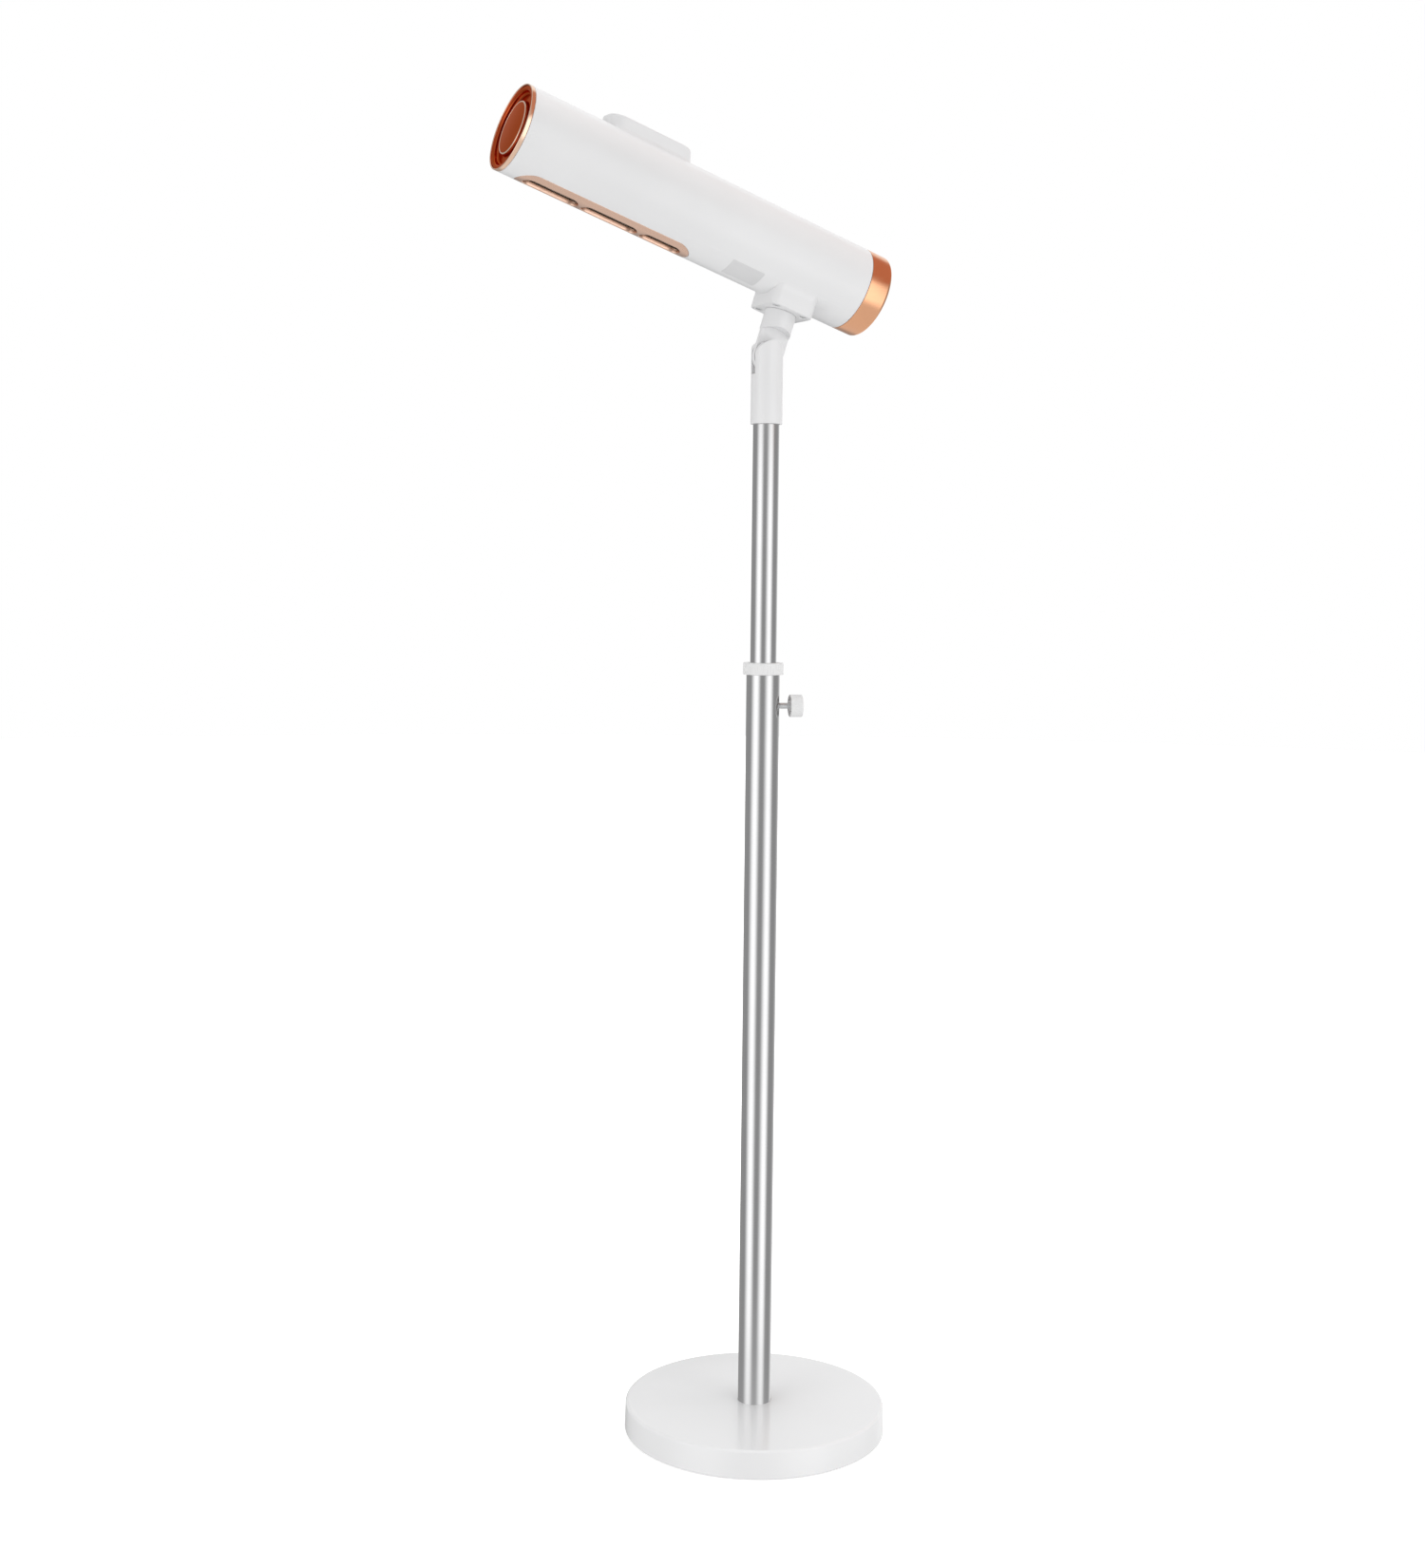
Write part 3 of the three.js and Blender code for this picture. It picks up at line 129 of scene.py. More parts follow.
def makeCamera():
    data = bpy.data.cameras.new("camera")
    camera = addObject("camera", data)
    data.lens, data.sensor_width = view["lens"], 36
    data.shift_x, data.shift_y = view["shiftX"], view["shiftY"]
    data.clip_start, data.clip_end = 0.05, 100
    side = math.radians(view["azimuth"])
    place = Vector((math.sin(side), -math.cos(side), 0)) * view["distance"]
    place.z = view["height"]
    heading = math.radians(-view["azimuth"] + view["turn"])
    pitch, roll = math.radians(view["pitch"]), math.radians(view["roll"])
    ahead = Vector((math.sin(heading), math.cos(heading), 0)) * math.cos(pitch)
    ahead.z = -math.sin(pitch)
    level = Vector((math.cos(heading), -math.sin(heading), 0))
    rise = level.cross(ahead)
    right = level * math.cos(roll) + rise * math.sin(roll)
    up = rise * math.cos(roll) - level * math.sin(roll)
    turn = Matrix((right, up, -ahead)).transposed().to_4x4()
    camera.matrix_world = Matrix.Translation(place) @ turn
    scene.camera = camera


makeCamera()
print("camera made")


# white surroundings with tall soft panels, and a pale floor
studio = {
    # tall soft panels round the horizon as polished metal sees them, in degrees to the right of the
    # camera: each one's middle, half its even part, its fades to the left and right, its brightness
    "panels": [(-47, 4, 43, 33, 1.7), (46, 4, 38, 34, 1.7)],
    "dim": 0.4,
    # where the lit wall behind starts, where it is even, and its brightness
    "behind": (114, 160, 0.95),
    # colour above that, with a warm dark stretch at the camera's right
    "aloft": [(-180, (1.0, 1.0, 1.0)), (-160, (0.8, 0.8, 0.8)), (-140, (0.5, 0.5, 0.5)),
              (-40, (0.6, 0.6, 0.6)), (40, (0.6, 0.6, 0.6)), (66, (0.54, 0.27, 0.19)),
              (142, (0.54, 0.27, 0.19)), (158, (1.0, 1.0, 1.0)), (180, (1.0, 1.0, 1.0))],
    "ground": (0.79, 0.79, 0.79), "backdrop": 1.0,
    # heights, from -1 below to 1 above, over which those two take over
    "aloftRise": (0.14, 0.44), "groundFall": (-0.4, -0.7),
    # brightness on matt surfaces from below, from the sides and from above
    "soft": (0.66, 0.80, 0.72),
    # place, what it faces, width and power of each lamp
    "lamps": {
        "fillLight": ((2.2, -1.2, 1.6), (0, 0, 0.8), 2.0, 0.8),
        "topLight": ((0, 0.1, 2.4), (-0.1, 0, 1.1), 1.0, 6.0),
        "leftLight": ((-1.7, -0.7, 1.2), (0, 0, 1.0), 1.0, 2.6),
        "endLight": ((1.6, -0.8, 1.3), (0.05, 0, 1.12), 0.9, 3.0),
        "lowRightLight": ((0.67, -1.5, 0.25), (0, 0, 0), 0.7, 8.4),
        "lowLeftLight": ((-1.52, -0.08, 0.25), (0, 0, 0), 0.7, 5.3),
        "backLight": ((0.76, 1.41, 1.6), (0, 0, 1.1), 1.2, 3.0),
        "lowBackLight": ((0.72, 1.32, 0.45), (0, 0, 0.1), 0.8, 1.0),
    },
    "floorGlow": 0.30, "floorReach": 1.5, "floorRadius": 9,
}


def panelStops():
    dim = studio["dim"]
    stops = [(-180, dim)]
    for middle, half, leftFade, rightFade, bright in studio["panels"]:
        stops += [(middle - half - leftFade, dim), (middle - half, bright),
                  (middle + half, bright), (middle + half + rightFade, dim)]
    start, even, bright = studio["behind"]
    return stops + [(start, dim), (even, bright)]


def panelRamp(tree, share, places, fade="LINEAR"):
    ramp = tree.node("ShaderNodeValToRGB", Fac=share)
    ramp.color_ramp.interpolation = fade
    stops = ramp.color_ramp.elements
    stops.remove(stops[-1])
    for i, (degrees, color) in enumerate(places):
        stop = stops[0] if i == 0 else stops.new(degrees / 360 + 0.5)
        stop.position = degrees / 360 + 0.5
        stop.color = [*color, 1]
    return ramp.outputs["Color"]


def makeWorld():
    world = bpy.data.worlds.new("studio")
    scene.world = world
    world.use_nodes = True
    world.node_tree.nodes.clear()
    tree = Nodes(world.node_tree)
    heading = tree.node("ShaderNodeTexCoord").outputs["Generated"]
    side = math.radians(view["azimuth"])
    toRight = (math.cos(side), math.sin(side), 0)
    toCamera = (math.sin(side), -math.cos(side), 0)
    dots = [tree.node("ShaderNodeVectorMath", {"operation": "DOT_PRODUCT"},
                      in0=heading, in1=axis).outputs["Value"] for axis in (toRight, toCamera)]
    share = tree.node("ShaderNodeMapRange", Value=tree.math("ARCTAN2", *dots),
                      From_Min=-math.pi, From_Max=math.pi).outputs["Result"]
    grey = [(degrees, (bright,) * 3) for degrees, bright in panelStops()]
    color = panelRamp(tree, share, grey, "EASE")
    aloft = panelRamp(tree, share, studio["aloft"])
    height = tree.node("ShaderNodeSeparateXYZ", in0=heading).outputs["Z"]
    ground = tree.node("ShaderNodeRGB").outputs[0]
    ground.default_value = [*studio["ground"], 1]
    for tone, (start, end) in ((aloft, studio["aloftRise"]), (ground, studio["groundFall"])):
        reach = tree.node("ShaderNodeMapRange", {"interpolation_type": "SMOOTHSTEP"},
                          Value=height, From_Min=start, From_Max=end).outputs["Result"]
        color = tree.node("ShaderNodeMix", {"data_type": "RGBA"},
                          Factor=reach, A=color, B=tone).outputs["Result"]
    tall = tree.node("ShaderNodeMapRange", Value=height, From_Min=-1.0).outputs["Result"]
    shade = tree.node("ShaderNodeValToRGB", Fac=tall)
    shade.color_ramp.elements.new(0.5)
    for stop, bright in zip(shade.color_ramp.elements, studio["soft"]):
        stop.color = (bright, bright, bright, 1)
    # metal sees the panels, matt surfaces the soft shade and the camera the backdrop
    path = tree.node("ShaderNodeLightPath").outputs
    seen = tree.node("ShaderNodeBackground", Color=color).outputs[0]
    backdrop = [studio["backdrop"]] * 3 + [1]
    for ray, tone in (("Is Diffuse Ray", shade.outputs["Color"]), ("Is Camera Ray", backdrop)):
        other = tree.node("ShaderNodeBackground", Color=tone).outputs[0]
        seen = tree.node("ShaderNodeMixShader", Fac=path[ray], in1=seen, in2=other).outputs[0]
    tree.node("ShaderNodeOutputWorld", Surface=seen)


def softLight(name, place, aim, size, power):
    data = bpy.data.lights.new(name, "AREA")
    data.shape, data.size, data.energy = "DISK", size, power
    lamp = addObject(name, data)
    lamp.location = place
    lamp.rotation_mode = "QUATERNION"
    lamp.rotation_quaternion = (Vector(aim) - Vector(place)).to_track_quat("-Z", "Y")
    lamp.visible_camera = False
    lamp.visible_glossy = False


def makeFloor():
    # it glows a little more away from the stand, so that it ends in the backdrop
    shape = bmesh.new()
    bmesh.ops.create_circle(shape, cap_ends=True, segments=96, radius=studio["floorRadius"])
    floor = addShape("floor", shape)
    finish = Finish("paleFloor")
    away = finish.node("ShaderNodeVectorMath", {"operation": "LENGTH"}, in0=finish.place).outputs["Value"]
    glow = finish.node("ShaderNodeMapRange", {"interpolation_type": "SMOOTHSTEP"}, Value=away,
                       From_Max=studio["floorReach"], To_Min=studio["floorGlow"]).outputs["Result"]
    finish.give(Base_Color=[*finish.values["color"], 1], Specular_IOR_Level=0.1,
                Emission_Color=(1, 1, 1, 1), Emission_Strength=glow)
    floor.data.materials.append(finish.material)
    floor.visible_glossy = False
    floor.visible_diffuse = False


finishes = {
    "enamelWhite": {"color": (0.80, 0.80, 0.805), "roughness": 0.18, "coat": 0.12},
    "shellWhite": {"color": (0.80, 0.80, 0.805), "roughness": 0.34, "coat": 0.12},
    "knuckleWhite": {"color": (0.80, 0.80, 0.805), "roughness": 0.38, "coat": 0.1},
    "fittingWhite": {"color": (0.79, 0.79, 0.79), "roughness": 0.45, "coat": 0.0},
    "panelWhite": {"color": (0.78, 0.78, 0.785), "roughness": 0.22, "coat": 0.3},
    "labelGrey": {"color": (0.67, 0.67, 0.675), "roughness": 0.5, "coat": 0.0},
    "roseGold": {"color": (0.86, 0.45, 0.26), "roughness": 0.2},
    "paleRoseGold": {"color": (0.78, 0.53, 0.41), "roughness": 0.3},
    # a lighter copy of rose gold: a painted highlight on the front ring and round the boss
    "brightRoseGold": {"color": (0.92, 0.64, 0.48), "roughness": 0.16},
    "burntCopper": {"color": (0.48, 0.08, 0.024), "roughness": 0.14, "edgeTint": (1.0, 0.6, 0.48)},
    "polishedSteel": {"color": (0.60, 0.60, 0.605), "roughness": 0.12},
    "zincSteel": {"color": (0.84, 0.85, 0.86), "roughness": 0.36},
    "outletSteel": {"color": (0.42, 0.41, 0.38), "roughness": 0.36},
    "motorCan": {"color": (0.5, 0.5, 0.51), "roughness": 0.3},
    "brass": {"color": (0.68, 0.5, 0.22), "roughness": 0.3},
    "nichrome": {"color": (0.32, 0.3, 0.29), "roughness": 0.42},
    "castIron": {"color": (0.09, 0.09, 0.095), "roughness": 0.7, "coat": 0.0},
    "blackRubber": {"color": (0.02, 0.02, 0.021), "roughness": 0.75, "coat": 0.0},
    "darkNylon": {"color": (0.03, 0.03, 0.032), "roughness": 0.5, "coat": 0.0},
    "mica": {"color": (0.5, 0.42, 0.28), "roughness": 0.55, "coat": 0.0},
    "circuitBoard": {"color": (0.02, 0.12, 0.06), "roughness": 0.4, "coat": 0.2},
    "paleFloor": {"color": (0.93, 0.93, 0.93), "roughness": 0.6},
}
noiseSpan = (0.3, 0.7)      # the part of a noise's range that colour and roughness spread over


class Finish(Nodes):
    # a principled material whose colour, roughness and relief vary with noise on Object coordinates

    def __init__(self, name):
        self.values = finishes[name]
        self.material = bpy.data.materials.new(name)
        self.material.use_nodes = True
        super().__init__(self.material.node_tree)
        self.shader = self.tree.nodes["Principled BSDF"]
        self.place = self.node("ShaderNodeTexCoord").outputs["Object"]
        self.give(Roughness=self.values["roughness"])

    def give(self, **inputs):
        self.feed(self.shader, **inputs)

    def noise(self, scale, detail, place=None):
        return self.node("ShaderNodeTexNoise", Scale=scale, Detail=detail,
                         Vector=place or self.place).outputs["Fac"]

    def lines(self, scale):
        # noise drawn out into fine lines
        drawn = self.node("ShaderNodeMapping", Vector=self.place, Scale=scale)
        return self.noise(1.0, 2, drawn.outputs["Vector"])

    def tint(self, fac, spread):
        # colour between a little darker and a little lighter than the finish's own
        ramp = self.node("ShaderNodeValToRGB", Fac=fac)
        color = Vector(self.values["color"])
        for stop, at, gain in zip(ramp.color_ramp.elements, noiseSpan, (1 - spread, 1 + spread)):
            stop.position = at
            stop.color = [*(color * gain), 1]
        self.give(Base_Color=ramp.outputs["Color"])

    def vary(self, fac, spread):
        start, end = noiseSpan
        middle = self.values["roughness"]
        span = self.node("ShaderNodeMapRange", Value=fac, From_Min=start, From_Max=end,
                         To_Min=max(0.02, middle - spread), To_Max=middle + spread)
        self.give(Roughness=span.outputs["Result"])

    def relief(self, fac, depth, strength=0.5, **under):
        bump = self.node("ShaderNodeBump", Strength=strength, Distance=depth, Height=fac, **under)
        self.give(Normal=bump.outputs["Normal"])
        return bump.outputs["Normal"]

    def coated(self, roughness):
        self.give(Coat_Weight=self.values["coat"], Coat_Roughness=roughness)
        return self.material


def plasticFinish(name, grain, depth, mottle=0.015):
    finish = Finish(name)
    finish.tint(finish.noise(14, 4), mottle)
    finish.vary(finish.noise(60, 4), 0.03)
    finish.relief(finish.noise(grain, 2), depth)
    return finish.coated(0.08)


def enamelFinish():
    # thick gloss coat with the faint orange peel of sprayed enamel
    finish = Finish("enamelWhite")
    finish.tint(finish.noise(9, 3), 0.01)
    finish.vary(finish.noise(40, 3), 0.02)
    wide = finish.relief(finish.noise(260, 1), 0.00004, 0.35)
    finish.relief(finish.noise(1300, 1), 0.000012, 0.25, Normal=wide)
    return finish.coated(0.05)


def metalFinish(name, lines, along, depth=0.00001, stretch=60.0):
    # brushed or plated metal: fine lines run along the given axis
    finish = Finish(name)
    scale = [lines] * 3
    scale[along] = lines / stretch
    brushed = finish.lines(scale)
    finish.tint(finish.noise(22, 4), 0.03)
    finish.vary(brushed, 0.05)
    finish.relief(brushed, depth, 0.3)
    finish.give(Metallic=1.0, Specular_Tint=[*finish.values.get("edgeTint", (1, 1, 1)), 1])
    return finish.material


def tubeFinish(name, lines):
    # lines that run round the Z axis, as polishing leaves them on a tube
    finish = Finish(name)
    brushed = finish.lines((lines / 200, lines / 200, lines))
    finish.tint(finish.noise(18, 4), 0.02)
    finish.vary(brushed, 0.03)
    finish.relief(brushed, 0.00001, 0.2)
    around = finish.node("ShaderNodeTangent", {"direction_type": "RADIAL", "axis": "Z"})
    finish.give(Metallic=1.0, Anisotropic=0.6, Tangent=around.outputs[0])
    return finish.material


materials = {
    "base_white": enamelFinish(),
    "shell_white": plasticFinish("shellWhite", 2600, 0.00001),
    "knuckle_white": plasticFinish("knuckleWhite", 1500, 0.000025),
    "fitting_white": plasticFinish("fittingWhite", 1800, 0.00003),
    "panel_white": plasticFinish("panelWhite", 2400, 0.000008),
    "label": plasticFinish("labelGrey", 900, 0.00001, 0.03),
    "rose_gold": metalFinish("roseGold", 900, 0),
    "pale_rose_gold": metalFinish("paleRoseGold", 900, 0),
    "burnt_copper": metalFinish("burntCopper", 300, 0, 0.000004, 3.0),
    # the lighter copy of rose gold, for painted highlights
    "bright_rose_gold": metalFinish("brightRoseGold", 900, 0),
    "polished_steel": tubeFinish("polishedSteel", 3000),
    "outlet_steel": metalFinish("outletSteel", 1200, 1),
    "zinc_steel": metalFinish("zincSteel", 1100, 2),
    "motor_can": metalFinish("motorCan", 1400, 0),
    "brass": metalFinish("brass", 1100, 0),
    "nichrome": metalFinish("nichrome", 900, 0, 0.00002, 4.0),
    "cast_iron": plasticFinish("castIron", 500, 0.0002, 0.1),
    "black_rubber": plasticFinish("blackRubber", 1400, 0.00006, 0.1),
    "dark_nylon": plasticFinish("darkNylon", 1600, 0.00003, 0.08),
    "mica": plasticFinish("mica", 500, 0.00006, 0.12),
    "circuit_board": plasticFinish("circuitBoard", 1200, 0.00002, 0.08),
}
print("finishes made:", len(materials))

scene.view_settings.view_transform = "Standard"
makeWorld()
makeFloor()
for name, (place, aim, width, power) in studio["lamps"].items():
    softLight(name, place, aim, width, power)
print("studio made")


def arc(centreX, centreY, radius, start, end, steps):
    turns = [math.radians(start + (end - start) * i / steps) for i in range(steps + 1)]
    return [(centreX + radius * math.cos(t), centreY + radius * math.sin(t)) for t in turns]


def eased(corners, steps, closed=True):
    # outline through (x, y, radius) corners, each rounded by its own radius
    points = []
    count = len(corners)
    for i, (x, y, radius) in enumerate(corners):
        here = Vector((x, y))
        if radius <= 0 or (not closed and i in (0, count - 1)):
            points.append((x, y))
            continue
        before = Vector(corners[i - 1][:2]) - here
        after = Vector(corners[(i + 1) % count][:2]) - here
        half = before.angle(after) / 2
        reach = min(radius / math.tan(half), 0.49 * before.length, 0.49 * after.length)
        fitted = reach * math.tan(half)
        middle = here + (before.normalized() + after.normalized()).normalized() * (fitted / math.sin(half))
        first = here + before.normalized() * reach - middle
        last = here + after.normalized() * reach - middle
        sweep = first.angle_signed(last)
        for k in range(steps + 1):
            spoke = first.copy()
            spoke.rotate(Matrix.Rotation(-sweep * k / steps, 2))
            points.append(tuple(middle + spoke))
    return points


def stadium(length, width, steps):
    reach = (length - width) / 2
    return arc(reach, 0, width / 2, -90, 90, steps) + arc(-reach, 0, width / 2, 90, 270, steps)


def roundedRectangle(length, width, radius, steps=8):
    x, y = length / 2 - radius, width / 2 - radius
    return (arc(x, -y, radius, -90, 0, steps) + arc(x, y, radius, 0, 90, steps)
            + arc(-x, y, radius, 90, 180, steps) + arc(-x, -y, radius, 180, 270, steps))


def circleOf(radius, steps):
    return arc(0, 0, radius, 0, 360 - 360 / steps, steps - 1)


def objectOf(name, shape, turn=None):
    # a bmesh as an object in the scene, doubles merged and normals outward
    if turn:
        bmesh.ops.transform(shape, matrix=turn, verts=shape.verts)
    bmesh.ops.remove_doubles(shape, verts=shape.verts, dist=1e-5)
    bmesh.ops.recalc_face_normals(shape, faces=shape.faces)
    return addShape(name, shape)


def turned(name, profile, segments, closed=True, turn=None):
    # (radius, height) points turned about Z; an open profile starts and ends on the axis
    shape = bmesh.new()
    rings = []
    for step in range(segments):
        angle = 2 * math.pi * step / segments
        side, front = math.cos(angle), math.sin(angle)
        rings.append([shape.verts.new((r * side, r * front, h)) for r, h in profile])
    spans = len(profile) if closed else len(profile) - 1
    for step in range(segments):
        here, there = rings[step], rings[(step + 1) % segments]
        for i in range(spans):
            j = (i + 1) % len(profile)
            corners = [here[i], there[i], there[j], here[j]]
            if profile[i][0] < 1e-6:
                corners = [here[i], there[j], here[j]]
            elif profile[j][0] < 1e-6:
                corners = [here[i], there[i], here[j]]
            shape.faces.new(corners)
    return objectOf(name, shape, turn)


def loft(name, levels, turn=None):
    # outlines of equal length at rising heights, closed at both ends
    shape = bmesh.new()
    rings = [[shape.verts.new((x, y, height)) for x, y in outline] for outline, height in levels]
    for low, high in zip(rings, rings[1:]):
        for i in range(len(low)):
            j = (i + 1) % len(low)
            shape.faces.new((low[i], low[j], high[j], high[i]))
    shape.faces.new(rings[0][::-1])
    shape.faces.new(rings[-1])
    return objectOf(name, shape, turn)


def prism(name, outline, bottom, top, turn=None):
    return loft(name, [(outline, bottom), (outline, top)], turn)


def rod(name, radius, steps, bottom, top, turn=None):
    return prism(name, circleOf(radius, steps), bottom, top, turn)


def box(x, low, high, bottom, top):
    return prism("box", [(-x, low), (x, low), (x, high), (-x, high)], bottom, top)


def moved(x=0, y=0, z=0):
    return Matrix.Translation((x, y, z))


alongX = Matrix.Rotation(math.radians(90), 4, "Y")      # +Z turns to +X
forward = Matrix.Rotation(math.radians(-90), 4, "Y")    # +Z turns to -X, the head's front
alongY = Matrix.Rotation(math.radians(-90), 4, "X")     # +Z turns to +Y


def flatten(piece):
    graph = bpy.context.evaluated_depsgraph_get()
    mesh = bpy.data.meshes.new_from_object(piece.evaluated_get(graph))
    piece.modifiers.clear()
    piece.data = mesh


def combine(piece, operation, tools):
    for tool in tools:
        step = piece.modifiers.new("step", "BOOLEAN")
        step.operation, step.solver, step.object = operation, "EXACT", tool
    flatten(piece)
    for tool in tools:
        bpy.data.objects.remove(tool)


def cut(piece, *tools):
    combine(piece, "DIFFERENCE", tools)


def join(piece, *tools):
    combine(piece, "UNION", tools)


def keepCommon(piece, *tools):
    combine(piece, "INTERSECT", tools)


def together(name, pieces):
    # several closed shapes as one object
    shape = bmesh.new()
    for each in pieces:
        shape.from_mesh(each.data)
        bpy.data.objects.remove(each)
    return addShape(name, shape)


def easeEdges(piece, width, segments, limit=35):
    step = piece.modifiers.new("ease", "BEVEL")
    step.width, step.segments = width, segments
    step.limit_method, step.angle_limit = "ANGLE", math.radians(limit)
    flatten(piece)


@contextmanager
def reshaping(piece):
    shape = bmesh.new()
    shape.from_mesh(piece.data)
    yield shape
    shape.to_mesh(piece.data)
    shape.free()


def finishPiece(piece, place, body, slot, *nodes, look=None, limit=32):
    # smooth but for edges sharper than the limit, and put in its place on its body
    with reshaping(piece) as shape:
        for face in shape.faces:
            face.smooth = True
        for edge in shape.edges:
            edge.smooth = edge.calc_face_angle(0) < math.radians(limit)
    piece.data.transform(place)
    piece.data.materials.clear()
    piece.data.materials.append(materials[look or slot])
    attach(piece, body)
    if nodes:
        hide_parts(*nodes)


def plate(name, outline, holes, bottom, top, ease, easeSteps):
    # flat plate with rounded edges, from a filled curve with its holes
    data = bpy.data.curves.new(name, "CURVE")
    data.dimensions, data.fill_mode = "2D", "BOTH"
    data.extrude = (top - bottom) / 2 - ease
    data.bevel_depth, data.bevel_resolution, data.offset = ease, easeSteps, -ease
    for points in [outline, *holes]:
        spline = data.splines.new("POLY")
        spline.points.add(len(points) - 1)
        for point, (x, y) in zip(spline.points, points):
            point.co = (x, y, 0, 1)
        spline.use_cyclic_u = True
    source = addObject(name + "Curve", data)
    graph = bpy.context.evaluated_depsgraph_get()
    mesh = bpy.data.meshes.new_from_object(source.evaluated_get(graph))
    bpy.data.objects.remove(source)
    shape = bmesh.new()
    shape.from_mesh(mesh)
    return objectOf(name, shape, moved(z=(bottom + top) / 2))


def bendable(piece, half, bends):
    # loops of edges along a piece, so that it can be rolled round the head
    normal = Vector((0, 1, 0))
    with reshaping(piece) as shape:
        for k in range(1, bends):
            everything = shape.verts[:] + shape.edges[:] + shape.faces[:]
            at = half * (2 * k / bends - 1)
            bmesh.ops.bisect_plane(shape, geom=everything, plane_co=normal * at, plane_no=normal)


def rollUnder(piece, radius, middle, centre=0.0):
    # a flat piece in X and Y, outer face at height 0, wrapped round the underside of the head
    for vertex in piece.data.vertices:
        x, y, z = vertex.co
        turn = centre + y / radius
        reach = radius + z
        vertex.co = (x - middle, reach * math.sin(turn), -reach * math.cos(turn))


class Tree(Nodes):
    # a Geometry Nodes tree with named inputs

    def __init__(self, name, inputs):
        super().__init__(bpy.data.node_groups.new(name, "GeometryNodeTree"))
        face = self.tree.interface
        face.new_socket("Geometry", in_out="INPUT", socket_type="NodeSocketGeometry")
        self.keys = {}
        for label, value in inputs.items():
            kind = "NodeSocketInt" if isinstance(value, int) else "NodeSocketFloat"
            socket = face.new_socket(label, in_out="INPUT", socket_type=kind)
            socket.default_value = value
            self.keys[label] = socket.identifier
        face.new_socket("Geometry", in_out="OUTPUT", socket_type="NodeSocketGeometry")
        self.given = self.node("NodeGroupInput").outputs
        self.end = self.node("NodeGroupOutput")

    def close(self, geometry, material):
        realized = self.node("GeometryNodeRealizeInstances", Geometry=geometry)
        painted = self.node("GeometryNodeSetMaterial", Geometry=realized.outputs[0], Material=material)
        self.feed(self.end, in0=painted.outputs[0])
        return self

    def apply(self, piece, **values):
        step = piece.modifiers.new("rule", "NODES")
        step.node_group = self.tree
        for label, value in values.items():
            step[self.keys[label]] = value
        flatten(piece)

    def stack(self, count):
        # that many points in one place, with their numbers
        line = self.node("GeometryNodeMeshLine", Count=count, Offset=(0, 0, 0))
        return line.outputs[0], self.node("GeometryNodeInputIndex").outputs[0]

    def copies(self, points, **inputs):
        return self.node("GeometryNodeInstanceOnPoints", Points=points,
                         Instance=self.given["Geometry"], **inputs).outputs[0]


def rimTree(name, material, dip, **inputs):
    # sinks the rim of a shape turned about Z, from Low to High and outside Inner, by dip times Depth
    tree = Tree(name, {**inputs, "Depth": 0.5, "Inner": 10.0, "Low": 0.0, "High": 10.0})
    place = tree.node("GeometryNodeInputPosition").outputs[0]
    x, y, z = tree.node("ShaderNodeSeparateXYZ", in0=place).outputs
    angle = tree.math("ARCTAN2", y, x)
    squares = tree.math("ADD", tree.math("MULTIPLY", x, x), tree.math("MULTIPLY", y, y))
    radius = tree.math("SQRT", squares)
    above = tree.math("GREATER_THAN", z, tree.given["Low"])
    below = tree.math("LESS_THAN", z, tree.given["High"])
    onRim = tree.math("GREATER_THAN", radius, tree.given["Inner"])
    mask = tree.math("MULTIPLY", onRim, tree.math("MULTIPLY", above, below))
    sink = tree.math("MULTIPLY", tree.math("MULTIPLY", dip(tree, angle, z), mask), tree.given["Depth"])
    left = tree.math("SUBTRACT", radius, sink)
    scale = tree.math("DIVIDE", left, tree.math("MAXIMUM", radius, 0.001))
    sunk = tree.node("ShaderNodeCombineXYZ", in0=tree.math("MULTIPLY", x, scale),
                     in1=tree.math("MULTIPLY", y, scale), in2=z)
    shaped = tree.node("GeometryNodeSetPosition", Geometry=tree.given["Geometry"],
                       Position=sunk.outputs[0])
    return tree.close(shaped.outputs[0], material)


def ribTree(material):
    # rounded grooves side by side round a knob or collar
    def dip(tree, angle, z):
        wave = tree.math("COSINE", tree.math("MULTIPLY", angle, tree.given["Ribs"]))
        return tree.math("POWER", tree.math("MULTIPLY_ADD", wave, 0.5, 0.5), 1.6)
    return rimTree("gripRibs", material, dip, Ribs=24.0)


def threadTree(material):
    # one groove that winds round a finely divided rod
    def dip(tree, angle, z):
        turns = tree.math("DIVIDE", angle, 2 * math.pi)
        phase = tree.math("SUBTRACT", tree.math("DIVIDE", z, tree.given["Pitch"]), turns)
        flank = tree.math("PINGPONG", tree.math("MULTIPLY", phase, 2.0), 1.0)
        return tree.node("ShaderNodeMapRange", in0=flank, in1=0.12, in2=0.88).outputs[0]
    return rimTree("screwThread", material, dip, Pitch=1.0)


def spokeTree(material):
    # copies of the input shape, turned evenly about X, the head's axis
    tree = Tree("evenSpokes", {"Count": 6})
    points, index = tree.stack(tree.given["Count"])
    step = tree.math("DIVIDE", 2 * math.pi, tree.given["Count"])
    turn = tree.node("ShaderNodeCombineXYZ", in0=tree.math("MULTIPLY", index, step))
    return tree.close(tree.copies(points, Rotation=turn.outputs[0]), material)


